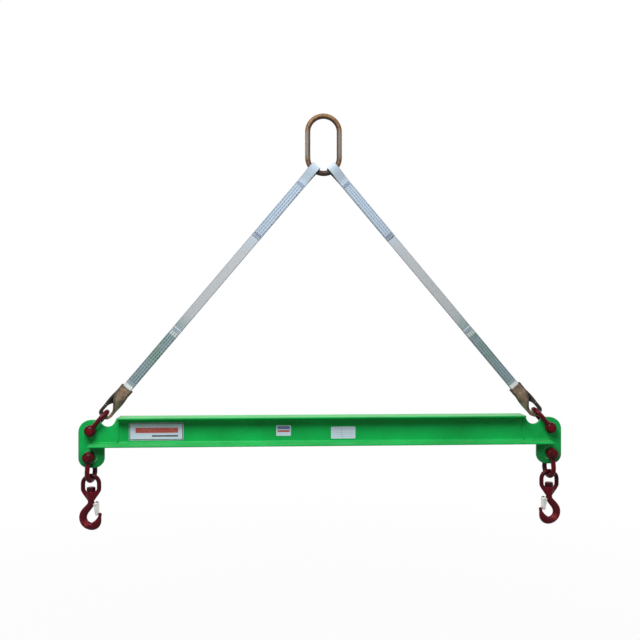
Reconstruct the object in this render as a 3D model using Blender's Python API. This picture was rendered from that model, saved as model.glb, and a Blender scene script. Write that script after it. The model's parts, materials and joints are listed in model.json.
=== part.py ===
"""Spreader beam: a short I-beam with end plates, hung from a two-leg web sling, with a swivel hook at each end.

Metres, +Z up, X along the beam. The origin is the lifting point: the top of the inside of the master link.
"""
from math import atan2, ceil, cos, pi, radians, sin, sqrt, tan

import bmesh
import bpy
from mathutils import Matrix, Vector

MM = 0.001

# Beam and end plates
SPAN = 1219.2 * MM
BEAM_DEPTH = 76.2 * MM
FLANGE_WIDTH = 59.2 * MM
FLANGE_THICK = 6.6 * MM
FLANGE_SLOPE = 1 / 6
ROOT_RADIUS = 5 * MM
TOE_RADIUS = 2 * MM
WEB_THICK = 4.3 * MM
TOP_FLANGE_SETBACK = 71 * MM
BOTTOM_FLANGE_OVERRUN = 3 * MM
PLATE_THICK = 9.5 * MM
PLATE_EDGE = 32 * MM
PLATE_INNER_EDGE = 35 * MM
PLATE_TOP_DROP = 6.7 * MM
PLATE_TOP_RADIUS = 32 * MM
PLATE_LUG_RADIUS = 26 * MM
PLATE_LUG_DEPTH = 30 * MM
PLATE_HOLE = 20 * MM
UPPER_HOLE_DROP = 35 * MM
HOLE_PITCH = 67 * MM
NOTCH_RADIUS = 20 * MM
NOTCH_INSET = 43.5 * MM
NOTCH_DEPTH = 25 * MM
NOTCH_LIP = 7 * MM

# Bare label plates: the large one is set in from the web's left end, the others off the beam's middle
LABEL_THICK = 0.8 * MM
LARGE_LABEL_WIDTH = 142 * MM
LARGE_LABEL_HEIGHT = 46 * MM
LARGE_LABEL_INSET = 27.6 * MM
SMALL_LABEL_WIDTH = 39 * MM
SMALL_LABEL_HEIGHT = 28 * MM
SMALL_LABEL_OFFSET = 106 * MM
MIDDLE_LABEL_WIDTH = 65 * MM
MIDDLE_LABEL_HEIGHT = 32 * MM
MIDDLE_LABEL_OFFSET = 52.4 * MM
MIDDLE_LABEL_DROP = 6.5 * MM

# Shackles
SHACKLE_STOCK = 12.7 * MM
SHACKLE_JAW = 20.6 * MM
SHACKLE_BOW = 33.3 * MM
SHACKLE_INSIDE = 47.8 * MM
SHACKLE_EAR = 30 * MM
EAR_CHAMFER_WIDE = 2.1 * MM
EAR_CHAMFER_DEEP = 3.175 * MM
TWIST_PLAY = 0.6
HANG_PLAY = 0.75
BOLT = 15.9 * MM
BOLT_HEAD = 25 * MM
BOLT_HEAD_THICK = 8 * MM
BOLT_HEAD_CHAMFER_WIDE = 2.5 * MM
BOLT_HEAD_CHAMFER_DEEP = 2.4 * MM
NUT_FLATS = 24 * MM
NUT_THICK = 12 * MM
BOLT_TAIL = 9 * MM
BOLT_TAIL_CHAMFER = 1.59 * MM
COTTER_WIRE = 1.6 * MM
COTTER_EYE = 7 * MM
COTTER_TAIL = 2.5 * MM
COTTER_SPLAY = 3.5 * MM

# Swivel hooks
BAIL_BAR = 11.5 * MM
BAIL_INSIDE = 30 * MM
BAIL_LENGTH = 34.5 * MM
BAIL_BASE = 27 * MM
BAIL_BASE_FOOT = 17 * MM
BAIL_BASE_DEPTH = 26 * MM
BAIL_BASE_STRAIGHT = 7.8 * MM
SHANK = 12.7 * MM
SHANK_CHAMFER_WIDE = 0.889 * MM
SHANK_CHAMFER_DEEP = 1.27 * MM
SHANK_NUT_FLATS = 20 * MM
SHANK_NUT_THICK = 10 * MM
HOOK_BOWL = 28.5 * MM
HOOK_DROP = 42.5 * MM
HOOK_OFFSET = 3.75 * MM
HOOK_NECK = 17 * MM
HOOK_NECK_LENGTH = 6.8 * MM
HOOK_BACK_ANGLE = radians(20)
HOOK_BACK = 20.4 * MM
HOOK_BOTTOM = 19.6 * MM
HOOK_TIP = 9 * MM
HOOK_TIP_HEIGHT = 11 * MM
HOOK_TIP_LEAN = 2.25 * MM
HOOK_THICK = 17 * MM
LATCH_PIN = 4 * MM
LATCH_PIN_HEAD = 6.4 * MM
LATCH_PIN_HEAD_THICK = 1.2 * MM
LATCH_PIN_HEAD_CHAMFER = 0.64 * MM
LATCH_PIN_REACH = 13.5 * MM
LATCH_PIN_DROP = 8.5 * MM
LATCH_LUG_THICK = 5 * MM
LATCH_EAR = 12 * MM
LATCH_SHEET = 1.5 * MM
LATCH_NOSE = 6.4 * MM
LATCH_SPRING_WIRE = 1 * MM
LATCH_SPRING_TURNS = 2.5
LATCH_SPRING_PITCH = 1.5 * MM

# Sling and master link
LINK_STOCK = 14.3 * MM
LINK_INSIDE_WIDTH = 70 * MM
LINK_INSIDE_LENGTH = 138 * MM
SLING_REACH = 838.6 * MM
WEBBING_WIDTH = 25.4 * MM
WEBBING_PLY = 4.2 * MM
TOP_SPLICE_LENGTH = 190 * MM
LOWER_SPLICE_LENGTH = 190 * MM
TOP_EYE_LENGTH = 46 * MM
LOWER_EYE_LENGTH = 96 * MM
LOWER_EYE_WIDTH = 17 * MM
SLEEVE_WALL = 1.2 * MM
SLEEVE_SETBACK = 14 * MM
EYE_PLAY = 4 * MM

# Clearances
GAP = 0.3 * MM
SEAT_GAP = 0.5 * MM
BORE_CLEARANCE = 0.35 * MM
PLY_GAP = 0.2 * MM
BURY = 12 * MM

# Fineness of round shapes
ARC_STEP = radians(18)
BAR_SIDES = 12
ROUND_SIDES = 20

# Sizes worked out from those above
half_span = SPAN / 2
stock_radius = SHACKLE_STOCK / 2
shackle_reach = SHACKLE_INSIDE + BOLT / 2 + stock_radius
bow_radius = SHACKLE_BOW / 2 + stock_radius
bow_centre = shackle_reach - bow_radius
ear_middle = SHACKLE_JAW / 2 + stock_radius
bolt_play = (PLATE_HOLE - BOLT) / 2 - GAP
lower_twist = atan2(TWIST_PLAY * bolt_play, PLATE_THICK / 2)
link_radius = LINK_INSIDE_WIDTH / 2 + LINK_STOCK / 2
link_top_centre = -LINK_INSIDE_WIDTH / 2
link_low_centre = -LINK_INSIDE_LENGTH + LINK_INSIDE_WIDTH / 2
leg_line = bolt_play + shackle_reach + SLING_REACH + link_radius
leg_drop = sqrt(leg_line ** 2 - half_span ** 2)
leg_angle = atan2(half_span, leg_drop)
upper_hole_z = link_low_centre - leg_drop
beam_top = upper_hole_z + UPPER_HOLE_DROP
lower_hole_z = upper_hole_z - HOLE_PITCH
overhang = (FLANGE_WIDTH - WEB_THICK) / 2
toe_thick = FLANGE_THICK - overhang / 2 * FLANGE_SLOPE
root_thick = FLANGE_THICK + overhang / 2 * FLANGE_SLOPE
web_end = half_span - TOP_FLANGE_SETBACK


# Materials

def finish(name, colour, roughness, metallic):
    material = bpy.data.materials.new(name)
    material.use_nodes = True
    shader = material.node_tree.nodes["Principled BSDF"]
    shader.inputs["Base Color"].default_value = (*colour, 1)
    shader.inputs["Roughness"].default_value = roughness
    shader.inputs["Metallic"].default_value = metallic
    material.diffuse_color = (*colour, 1)
    return material


# Meshes: rings of points joined into closed solids

def solid(bm, name):
    bmesh.ops.recalc_face_normals(bm, faces=bm.faces)
    mesh = bpy.data.meshes.new(name)
    bm.to_mesh(mesh)
    bm.free()
    mesh.shade_smooth()
    mesh.set_sharp_from_angle(angle=radians(35))
    return mesh


def join_rings(bm, rings, closed):
    loops = [[bm.verts.new(point) for point in ring] for ring in rings]
    pairs = list(zip(loops, loops[1:]))
    if closed:
        pairs.append((loops[-1], loops[0]))
    for low, high in pairs:
        for i in range(len(low)):
            j = (i + 1) % len(low)
            bm.faces.new((low[i], low[j], high[j], high[i]))
    if not closed:
        bm.faces.new(loops[0])
        bm.faces.new(loops[-1])


def lofted(name, rings, closed=False):
    bm = bmesh.new()
    join_rings(bm, rings, closed)
    return solid(bm, name)


def prism(name, outline, low, high, axis="Y"):
    """Closed outline of (x, z) points drawn out along Y, or of (y, z) points drawn out along X."""
    if axis == "Y":
        rings = [[Vector((a, depth, b)) for a, b in outline] for depth in (low, high)]
    else:
        rings = [[Vector((depth, a, b)) for a, b in outline] for depth in (low, high)]
    return lofted(name, rings)


def turned(name, profile, sides=ROUND_SIDES):
    """Profile of (radius, y) points turned about the Y axis."""
    rings = []
    for radius, y in profile:
        angles = [2 * pi * i / sides for i in range(sides)]
        rings.append([Vector((radius * cos(a), y, radius * sin(a))) for a in angles])
    return lofted(name, rings)


def bar_ring(centre, tangent, across, half_a, half_b, sides=BAR_SIDES):
    """Oval ring of points round a centre line; across is the direction of half_b."""
    side = across.cross(tangent).normalized()
    angles = [2 * pi * i / sides for i in range(sides)]
    return [centre + side * (half_a * cos(a)) + across * (half_b * sin(a)) for a in angles]


def tangents(points, closed=False):
    count = len(points)
    result = []
    for i in range(count):
        ahead = points[(i + 1) % count] if closed or i < count - 1 else points[i]
        behind = points[i - 1] if closed or i > 0 else points[i]
        result.append((ahead - behind).normalized())
    return result


def bent_bar(name, points, radius, across, closed=False, sides=BAR_SIDES):
    """Round bar along a centre line that lies in the plane square to across."""
    along = tangents(points, closed)
    rings = [bar_ring(p, t, across, radius, radius, sides) for p, t in zip(points, along)]
    return lofted(name, rings, closed)


def combined(mesh, tools, operation):
    """Mesh joined with the tools (UNION) or cut by them (DIFFERENCE)."""
    base = bpy.data.objects.new("base", mesh)
    bpy.context.collection.objects.link(base)
    helpers = []
    for tool in tools:
        helper = bpy.data.objects.new("tool", tool)
        bpy.context.collection.objects.link(helper)
        modifier = base.modifiers.new(operation, "BOOLEAN")
        modifier.operation = operation
        modifier.object = helper
        helpers.append(helper)
    graph = bpy.context.evaluated_depsgraph_get()
    result = bpy.data.meshes.new_from_object(base.evaluated_get(graph))
    result.name = mesh.name
    for helper in [base, *helpers]:
        bpy.data.objects.remove(helper)
    return result


# Outlines

def arc(centre_a, centre_b, radius, start, end):
    steps = 2 * ceil(abs(end - start) / ARC_STEP / 2 - 0.01)
    angles = [start + (end - start) * i / steps for i in range(steps + 1)]
    return [(centre_a + radius * cos(a), centre_b + radius * sin(a)) for a in angles]


def rounded(corners):
    """Outline of (a, b, radius) corners, each rounded by its radius."""
    points = []
    for i, (a, b, radius) in enumerate(corners):
        here = Vector((a, b))
        if radius == 0:
            points.append((a, b))
            continue
        back = (Vector(corners[i - 1][:2]) - here).normalized()
        ahead = (Vector(corners[(i + 1) % len(corners)][:2]) - here).normalized()
        half = back.angle(ahead) / 2
        centre = here + (back + ahead).normalized() * (radius / sin(half))
        first = here + back * (radius / tan(half)) - centre
        last = here + ahead * (radius / tan(half)) - centre
        turn = first.angle_signed(last)
        start = atan2(first.y, first.x)
        points += arc(centre.x, centre.y, radius, start, start - turn)
    return points


def hermite(start, start_pull, end, end_pull, steps):
    points = []
    for i in range(steps + 1):
        t = i / steps
        points.append(start * (2 * t ** 3 - 3 * t ** 2 + 1) + start_pull * (t ** 3 - 2 * t ** 2 + t)
                      + end * (3 * t ** 2 - 2 * t ** 3) + end_pull * (t ** 3 - t ** 2))
    return points


def eased(t):
    t = min(1, max(0, t))
    return t * t * (3 - 2 * t)


# Objects: a pivot is an empty on a joint's axis, and a node hangs on a pivot

world_of = {}


def settle(thing, world, parent):
    bpy.context.collection.objects.link(thing)
    thing.parent = parent
    thing.matrix_basis = world if parent is None else world_of[parent.name].inverted() @ world
    world_of[thing.name] = world
    return thing


def pivot(name, world, parent=None):
    return settle(bpy.data.objects.new(name, None), world, parent)


def node(name, mesh, material, parent, world=None):
    thing = bpy.data.objects.new(name, mesh)
    mesh.materials.clear()
    mesh.materials.append(material)
    return settle(thing, world or world_of[parent.name], parent)


def at(x, y, z):
    return Matrix.Translation((x, y, z))


def turn(angle, axis):
    return Matrix.Rotation(angle, 4, axis)


# Rolled beam: one section drawn out, its ends cut back to a slotted bottom flange

def beam_mesh():
    half = FLANGE_WIDTH / 2
    web = WEB_THICK / 2
    corners = []
    for side in (1, -1):
        top = [(half, 0, 0), (half, -toe_thick, TOE_RADIUS), (web, -root_thick, ROOT_RADIUS)]
        low = [(a, -BEAM_DEPTH - b, r) for a, b, r in reversed(top)]
        run = top + low
        corners += run if side == 1 else [(-a, b, r) for a, b, r in reversed(run)]
    flange_end = half_span + BOTTOM_FLANGE_OVERRUN
    mesh = prism("i_beam", rounded(corners), -flange_end, flange_end, axis="X")
    cutters = []
    slot = PLATE_THICK / 2 + GAP
    slot_start = half_span - PLATE_INNER_EDGE - GAP
    floor = root_thick - BEAM_DEPTH
    for side in (1, -1):
        block = [(side * web_end, floor), (side * (flange_end + half), floor),
                 (side * (flange_end + half), half), (side * web_end, half)]
        cutters.append(prism("end_cut", block, -FLANGE_WIDTH, FLANGE_WIDTH))
        low = -BEAM_DEPTH - half
        gate = [(side * slot_start, low), (side * (flange_end + half), low),
                (side * (flange_end + half), half), (side * slot_start, half)]
        cutters.append(prism("slot_cut", gate, -slot, slot))
    return combined(mesh, cutters, "DIFFERENCE")


# End plate: flame-cut plate in line with the web, holes measured from the beam's top

def plate_mesh(name, side):
    outer = half_span + PLATE_EDGE
    inner = half_span - PLATE_INNER_EDGE
    top = -PLATE_TOP_DROP
    bottom = -UPPER_HOLE_DROP - HOLE_PITCH - PLATE_LUG_DEPTH
    shelf = root_thick - BEAM_DEPTH + GAP
    butt = web_end + GAP
    notch_x = half_span - NOTCH_INSET
    notch_z = NOTCH_RADIUS - NOTCH_DEPTH
    lip_reach = sqrt((NOTCH_RADIUS + NOTCH_LIP) ** 2 - (top - NOTCH_LIP - notch_z) ** 2)
    lip_angle = atan2(top - NOTCH_LIP - notch_z, lip_reach)
    corners = [(butt, shelf, 0), (inner, shelf, 0), (inner, bottom, PLATE_LUG_RADIUS),
               (outer, bottom, PLATE_LUG_RADIUS), (outer, top, PLATE_TOP_RADIUS), (notch_x + lip_reach, top, 0)]
    outline = rounded(corners)
    outline += arc(notch_x + lip_reach, top - NOTCH_LIP, NOTCH_LIP, pi / 2, pi + lip_angle)[1:]
    outline += arc(notch_x, notch_z, NOTCH_RADIUS, lip_angle, -pi - lip_angle)[1:-1]
    outline += arc(notch_x - lip_reach, top - NOTCH_LIP, NOTCH_LIP, -lip_angle, pi / 2)
    outline.append((butt, top))
    outline = [(side * x, z) for x, z in outline]
    mesh = prism(name, outline, -PLATE_THICK / 2, PLATE_THICK / 2)
    drills = []
    for drop in (UPPER_HOLE_DROP, UPPER_HOLE_DROP + HOLE_PITCH):
        drill = turned("drill", [(PLATE_HOLE / 2, -PLATE_THICK), (PLATE_HOLE / 2, PLATE_THICK)])
        drill.transform(at(side * half_span, 0, -drop))
        drills.append(drill)
    return combined(mesh, drills, "DIFFERENCE")


def label_mesh(name, middle, drop, width, height):
    front = -WEB_THICK / 2 - GAP
    a = width / 2
    b = height / 2
    corner = min(a, b) / 6
    corners = [(-a, -b, corner), (a, -b, corner), (a, b, corner), (-a, b, corner)]
    outline = [(middle + x, z - BEAM_DEPTH / 2 - drop) for x, z in rounded(corners)]
    return prism(name, outline, front - LABEL_THICK, front)


# Shackle, drawn with its bolt along Y and its bow towards +Z

def shackle_mesh():
    lean = sqrt(bow_centre ** 2 + (bow_radius - ear_middle) ** 2)
    points = []
    rise = atan2(bow_radius - ear_middle, lean)
    for a, b in arc(0, bow_centre, bow_radius, -rise / 2, pi + rise / 2):
        points.append(Vector((0, a, b)))
    points = [Vector((0, ear_middle, 0)), *points, Vector((0, -ear_middle, 0))]
    bow = bent_bar("shackle_bow", points, stock_radius, Vector((1, 0, 0)))
    ears = []
    for side in (1, -1):
        face = side * SHACKLE_JAW / 2
        back = side * (SHACKLE_JAW / 2 + SHACKLE_STOCK)
        rim = SHACKLE_EAR / 2
        crown = back - side * EAR_CHAMFER_DEEP
        ears.append(turned("ear", [(rim, face), (rim, crown), (rim - EAR_CHAMFER_WIDE, back)]))
    bow = combined(bow, ears, "UNION")
    reach = 2 * SHACKLE_BOW
    bore = BOLT / 2 + BORE_CLEARANCE
    throat_top = SHACKLE_EAR / 2 + 2 * GAP
    throat = [(-SHACKLE_EAR, -SHACKLE_EAR), (SHACKLE_EAR, -SHACKLE_EAR),
              (SHACKLE_EAR, throat_top), (-SHACKLE_EAR, throat_top)]
    cutters = [turned("bore", [(bore, -reach), (bore, reach)]),
               prism("throat", throat, -SHACKLE_JAW / 2, SHACKLE_JAW / 2)]
    for side in (1, -1):
        spot_face = side * (SHACKLE_JAW / 2 + SHACKLE_STOCK)
        cutters.append(turned("spot", [(SHACKLE_EAR / 2, spot_face), (SHACKLE_EAR / 2, side * reach)]))
    return combined(bow, cutters, "DIFFERENCE")


def bolt_mesh():
    radius = BOLT / 2
    back = SHACKLE_JAW / 2 + SHACKLE_STOCK
    head = BOLT_HEAD / 2
    front = -back - GAP
    tail = back + GAP + NUT_THICK + BOLT_TAIL
    face = front - BOLT_HEAD_THICK
    profile = [(head - BOLT_HEAD_CHAMFER_WIDE, face), (head, face + BOLT_HEAD_CHAMFER_DEEP), (head, front),
               (radius, front), (radius, tail - BOLT_TAIL_CHAMFER), (radius - BOLT_TAIL_CHAMFER, tail)]
    hole = COTTER_WIRE + 2 * BORE_CLEARANCE
    drill = turned("drill", [(hole, -BOLT), (hole, BOLT)], BAR_SIDES)
    drill.transform(at(0, cotter_place(), 0) @ turn(pi / 2, "X"))
    return combined(turned("bolt", profile), [drill], "DIFFERENCE")


def cotter_place():
    return SHACKLE_JAW / 2 + SHACKLE_STOCK + GAP + NUT_THICK + BOLT_TAIL / 2


def hex_nut(name, flats, thick, bore):
    """Six-sided nut along Y with its near face at y = 0."""
    corner = flats / 2 / cos(pi / 6)
    outline = [(corner * cos(i * pi / 3), corner * sin(i * pi / 3)) for i in range(6)]
    mesh = prism(name, outline, 0, thick)
    drill = turned("drill", [(bore / 2, -thick), (bore / 2, 2 * thick)])
    return combined(mesh, [drill], "DIFFERENCE")


def cotter_mesh():
    """Split pin: one wire bent round an eye, its two legs side by side down through the bolt."""
    wire = COTTER_WIRE / 2
    leg = wire + PLY_GAP
    eye = COTTER_EYE / 2 - wire
    neck = sqrt(eye ** 2 - leg ** 2)
    top = BOLT / 2 + wire + GAP
    foot = -BOLT / 2 - GAP - wire
    start = atan2(-neck, leg)
    loop = arc(0, top + neck, eye, start, pi - start)
    points = [(leg + COTTER_SPLAY, foot - COTTER_TAIL), (leg + wire, foot), (leg, foot + 2 * wire),
              (leg, top - wire), *loop, (-leg, top - wire), (-leg, foot + 2 * wire), (-leg - wire, foot),
              (-leg - COTTER_SPLAY, foot - COTTER_TAIL)]
    line = [Vector((a, 0, b)) for a, b in points]
    return bent_bar("cotter", line, wire, Vector((0, 1, 0)), sides=6)


# Swivel bail, drawn from the middle of its top bar, with the hook's shank down its middle

def bail_mesh():
    bar = BAIL_BAR / 2
    side_x = BAIL_INSIDE / 2 + bar
    seat = -bar - BAIL_LENGTH
    foot = seat - BAIL_BASE_DEPTH
    top_arc = [Vector((a, 0, b)) for a, b in arc(0, -side_x, side_x, 0, pi)]
    shoulder = Vector((side_x, 0, seat + bar))
    root = Vector((BAIL_BASE_FOOT / 3, 0, (seat + 3 * foot) / 4))
    leg = hermite(shoulder, Vector((0, 0, seat - shoulder.z)) * 3, root, root - shoulder, 7)
    left = [Vector((-p.x, 0, p.z)) for p in leg]
    hoop = bent_bar("bail", [*reversed(leg), *top_arc, *left], bar, Vector((0, 1, 0)))
    base = BAIL_BASE / 2
    narrow = BAIL_BASE_FOOT / 2
    boss = turned("boss", [(base, -seat), (base, -seat + BAIL_BASE_STRAIGHT),
                           (narrow, -foot)])
    boss.transform(turn(-pi / 2, "X"))
    hoop = combined(hoop, [boss], "UNION")
    bore = SHANK / 2 + BORE_CLEARANCE
    well = SHANK_NUT_FLATS / 2 / cos(pi / 6) + 2 * SEAT_GAP
    drill = turned("drill", [(bore, -2 * foot), (bore, -seat - SHANK_NUT_THICK)])
    drill.transform(turn(-pi / 2, "X"))
    counter = turned("counter", [(well, -seat), (well, -seat - SHANK_NUT_THICK - GAP)])
    counter.transform(turn(-pi / 2, "X"))
    return combined(hoop, [drill, counter], "DIFFERENCE")


# Hook, drawn from its neck below the bail, back towards +X and tip towards -X

def hook_line():
    """Centre line of the hook below its neck, with the half width of the section at each point."""
    bowl = HOOK_BOWL / 2
    back = HOOK_BACK / 2
    bottom = HOOK_BOTTOM / 2
    tip = HOOK_TIP / 2
    centre = Vector((-HOOK_OFFSET, 0, -HOOK_DROP))

    def bowl_half(angle):
        if angle > -pi / 2:
            return back + (bottom - back) * eased(-angle / (pi / 2))
        return bottom + (tip - bottom) * eased((-angle - pi / 2) / (pi / 2))

    def bowl_point(angle):
        return centre + Vector((cos(angle), 0, sin(angle))) * (bowl + bowl_half(angle))

    first = HOOK_BACK_ANGLE
    neck = Vector((0, 0, -HOOK_NECK_LENGTH))
    start = bowl_point(first)
    pull = (start - neck).length
    way_in = Vector((sin(first), 0, -cos(first))) * pull
    line = hermite(neck, Vector((0.4, 0, -0.9)) * pull, start, way_in, 6)
    halves = [HOOK_NECK / 2 + (back - HOOK_NECK / 2) * i / 6 for i in range(7)]
    steps = ceil((pi + first) / ARC_STEP)
    for i in range(1, steps + 1):
        angle = first - (pi + first) * i / steps
        line.append(bowl_point(angle))
        halves.append(bowl_half(angle))
    last = line[-1]
    for share, slim in ((0.4, 1.0), (0.8, 0.95), (1.0, 0.55)):
        line.append(last + Vector((-HOOK_TIP_LEAN * share ** 2, 0, HOOK_TIP_HEIGHT * share)))
        halves.append(tip * slim)
    return line, halves


def hook_mesh():
    across = Vector((0, 1, 0))
    line, halves = hook_line()
    shank = SHANK / 2
    shank_top = BAIL_BASE_DEPTH + SHANK_NUT_THICK + 2 * GAP
    rings = []
    down = Vector((0, 0, -1))
    for z, radius in ((shank_top, shank - SHANK_CHAMFER_WIDE), (shank_top - SHANK_CHAMFER_DEEP, shank),
                      (0, shank), (-GAP, HOOK_NECK / 2)):
        rings.append(bar_ring(Vector((0, 0, z)), down, across, radius, radius))
    thick = HOOK_THICK / 2
    for point, along, half in zip(line, tangents(line), halves):
        rings.append(bar_ring(point, along, across, half, min(thick, half * 1.05)))
    mesh = lofted("hook", rings)
    lug_half = LATCH_LUG_THICK / 2
    eye = LATCH_EAR / 2 - LATCH_SHEET - SEAT_GAP
    lug = rounded([(0, -LATCH_PIN_DROP - eye, 0), (0, -LATCH_PIN_DROP + eye, 0),
                   (-LATCH_PIN_REACH - eye, -LATCH_PIN_DROP + eye, eye * 0.99),
                   (-LATCH_PIN_REACH - eye, -LATCH_PIN_DROP - eye, eye * 0.99)])
    mesh = combined(mesh, [prism("lug", lug, -lug_half, lug_half)], "UNION")
    bore = LATCH_PIN / 2 + BORE_CLEARANCE
    drill = turned("drill", [(bore, -HOOK_THICK), (bore, HOOK_THICK)], BAR_SIDES)
    drill.transform(at(-LATCH_PIN_REACH, 0, -LATCH_PIN_DROP))
    return combined(mesh, [drill], "DIFFERENCE")


# Safety latch: a folded sheet channel on a pin, its nose inside the hook's tip

def latch_room():
    """Inside half width of the latch's channel: the lug with the spring's turns beside it."""
    turns = LATCH_SPRING_TURNS * LATCH_SPRING_PITCH + LATCH_SPRING_WIRE
    return LATCH_LUG_THICK / 2 + turns + 2 * SEAT_GAP


def latch_mesh():
    line, halves = hook_line()
    tip = line[-2]
    pin = Vector((-LATCH_PIN_REACH, 0, -LATCH_PIN_DROP))
    nose = LATCH_NOSE / 2
    rest = Vector((tip.x + halves[-2] + SEAT_GAP + nose, 0, tip.z)) - pin
    along = rest.normalized()
    out = Vector((along.z, 0, -along.x))
    ear = LATCH_EAR / 2
    tilt = atan2(along.z, along.x)
    narrowing = (ear - nose) / rest.length
    heel = arc(0, 0, ear, tilt + pi / 2 + narrowing, tilt + 3 * pi / 2 - narrowing)
    toe = arc(rest.x, rest.z, nose, tilt - pi / 2 - narrowing, tilt + pi / 2 + narrowing)
    room = latch_room()
    outer = room + LATCH_SHEET
    mesh = prism("latch", heel + toe, -outer, outer)
    shift = out * -LATCH_SHEET
    reach = along * (rest.length + nose + ear)
    heel_end = along * -ear * 2
    inward = out * -4 * ear
    skin = out * (nose - LATCH_SHEET)
    hollow = [shift + heel_end + out * ear, shift + out * ear, skin + reach,
              skin + reach + inward, heel_end + inward]
    cutters = [prism("hollow", [(p.x, p.z) for p in hollow], -room, room)]
    bore = LATCH_PIN / 2 + BORE_CLEARANCE
    cutters.append(turned("drill", [(bore, -2 * outer), (bore, 2 * outer)], BAR_SIDES))
    return combined(mesh, cutters, "DIFFERENCE")


def latch_pin_mesh():
    outer = latch_room() + LATCH_SHEET + GAP
    radius = LATCH_PIN / 2
    head = LATCH_PIN_HEAD / 2
    edge = outer + LATCH_PIN_HEAD_THICK / 2
    face = outer + LATCH_PIN_HEAD_THICK
    crown = head - LATCH_PIN_HEAD_CHAMFER
    profile = [(crown, -face), (head, -edge), (head, -outer), (radius, -outer), (radius, outer), (head, outer),
               (head, edge), (crown, face)]
    return turned("latch_pin", profile, BAR_SIDES)


def latch_spring_mesh():
    """Torsion spring beside the latch's lug: one wire, two and a half turns and two straight ends."""
    wire = LATCH_SPRING_WIRE / 2
    radius = LATCH_PIN / 2 + BORE_CLEARANCE + wire
    low = LATCH_LUG_THICK / 2 + SEAT_GAP + wire
    count = round(LATCH_SPRING_TURNS * 10)
    points = []
    for i in range(count + 1):
        a = 2 * pi * LATCH_SPRING_TURNS * i / count
        points.append(Vector((radius * cos(a), low + LATCH_SPRING_PITCH * a / (2 * pi), radius * sin(a))))
    first = points[0] - Vector((0, 0, 2 * LATCH_SPRING_WIRE))
    last = points[-1] - Vector((0, 0, 2 * LATCH_SPRING_WIRE))
    points = [first, *points, last]
    least = LATCH_SPRING_PITCH
    for i, here in enumerate(points):
        for there in points[i + 6:]:
            least = min(least, (here - there).length)
    print("latch spring least gap to itself, mm:", round((least - LATCH_SPRING_WIRE) / MM, 3))
    rings = []
    for point, along in zip(points, tangents(points)):
        across = Vector((0, 1, 0))
        across = (across - along * across.dot(along)).normalized()
        rings.append(bar_ring(point, along, across, wire, wire, 8))
    return lofted("latch_spring", rings)


# Master link: an oblong ring of round bar

def link_mesh():
    points = [Vector((a, 0, b)) for a, b in arc(0, link_top_centre, link_radius, 0, pi)]
    points += [Vector((a, 0, b)) for a, b in arc(0, link_low_centre, link_radius, pi, 2 * pi)]
    return bent_bar("master_link", points, LINK_STOCK / 2, Vector((0, 1, 0)), closed=True, sides=16)


# Sling leg, drawn with +Z up the leg, Y across the beam, from the middle of the shackle's crown bar

def ribbon(stations, inset=0.0):
    """Solid strip through stations of (middle, face direction, width direction, width, thickness)."""
    rings = []
    for middle, face, wide, width, thick in stations:
        a = wide * (width / 2 + inset)
        b = face * (thick / 2 + inset)
        rings.append([middle - a - b, middle + a - b, middle + a + b, middle - a + b])
    return rings


def strap_loop(half_width, depth, flat):
    """Half of a loop's path from the middle of its far end: flat under the bar, then round its corner."""
    corner = half_width - flat
    path = [(0, -depth)]
    path += arc(flat, corner - depth, corner, -pi / 2, 0)
    return path


def lower_eye_stations():
    """Strip of the lower eye: round the crown bar with its width along Y, then turned flat to the splice."""
    thick = WEBBING_PLY
    wall = SLEEVE_WALL + PLY_GAP
    half = LOWER_EYE_WIDTH / 2 + wall
    inside = SHACKLE_BOW / 2 - SEAT_GAP
    slack = inside - sqrt(inside ** 2 - half ** 2) + SEAT_GAP
    spread = stock_radius + EYE_PLAY + wall + thick / 2
    depth = stock_radius + slack + wall + thick / 2
    together = thick / 2 + PLY_GAP / 2
    beside = thick / 2 + wall + PLY_GAP
    sleeve_top = LOWER_EYE_LENGTH - SLEEVE_SETBACK
    stations = []
    for a, b in strap_loop(spread, depth, EYE_PLAY):
        stations.append((a, b, 0, LOWER_EYE_WIDTH))
    start = stations[-1][1]
    steps = 10
    for i in range(1, steps + 1):
        t = i / steps
        b = start + (sleeve_top - start) * t
        a = spread + (beside - spread) * eased(t)
        width = LOWER_EYE_WIDTH + (WEBBING_WIDTH - LOWER_EYE_WIDTH) * eased(t)
        stations.append((a, b, pi / 2 * eased((t - 0.2) / 0.8), width))
    stations.append((together, LOWER_EYE_LENGTH, pi / 2, WEBBING_WIDTH))
    stations.append((together, LOWER_EYE_LENGTH + BURY, pi / 2, WEBBING_WIDTH))
    half_loop = []
    for a, b, twist, width in stations:
        spin = turn(twist, "Z")
        out = spin @ Vector((1, 0, 0))
        half_loop.append((out * a + Vector((0, 0, b)), spin, width))
    return half_loop


def eye_rings(half_loop, inset):
    """Rings of the whole loop: the stations of one half, and the same half turned round the leg."""
    points = []
    spin_round = turn(pi, "Z")
    for middle, spin, width in reversed(half_loop[1:]):
        points.append((spin_round @ middle, spin_round @ spin @ Vector((0, 1, 0)), width))
    for middle, spin, width in half_loop:
        points.append((middle, spin @ Vector((0, -1, 0)), width))
    along = tangents([p[0] for p in points])
    rings = []
    for (middle, wide, width), way in zip(points, along):
        wide = -wide
        wide = (wide - way * wide.dot(way)).normalized()
        face = way.cross(wide).normalized()
        rings += ribbon([(middle, face, wide, width, WEBBING_PLY)], inset)
    return rings


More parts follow.
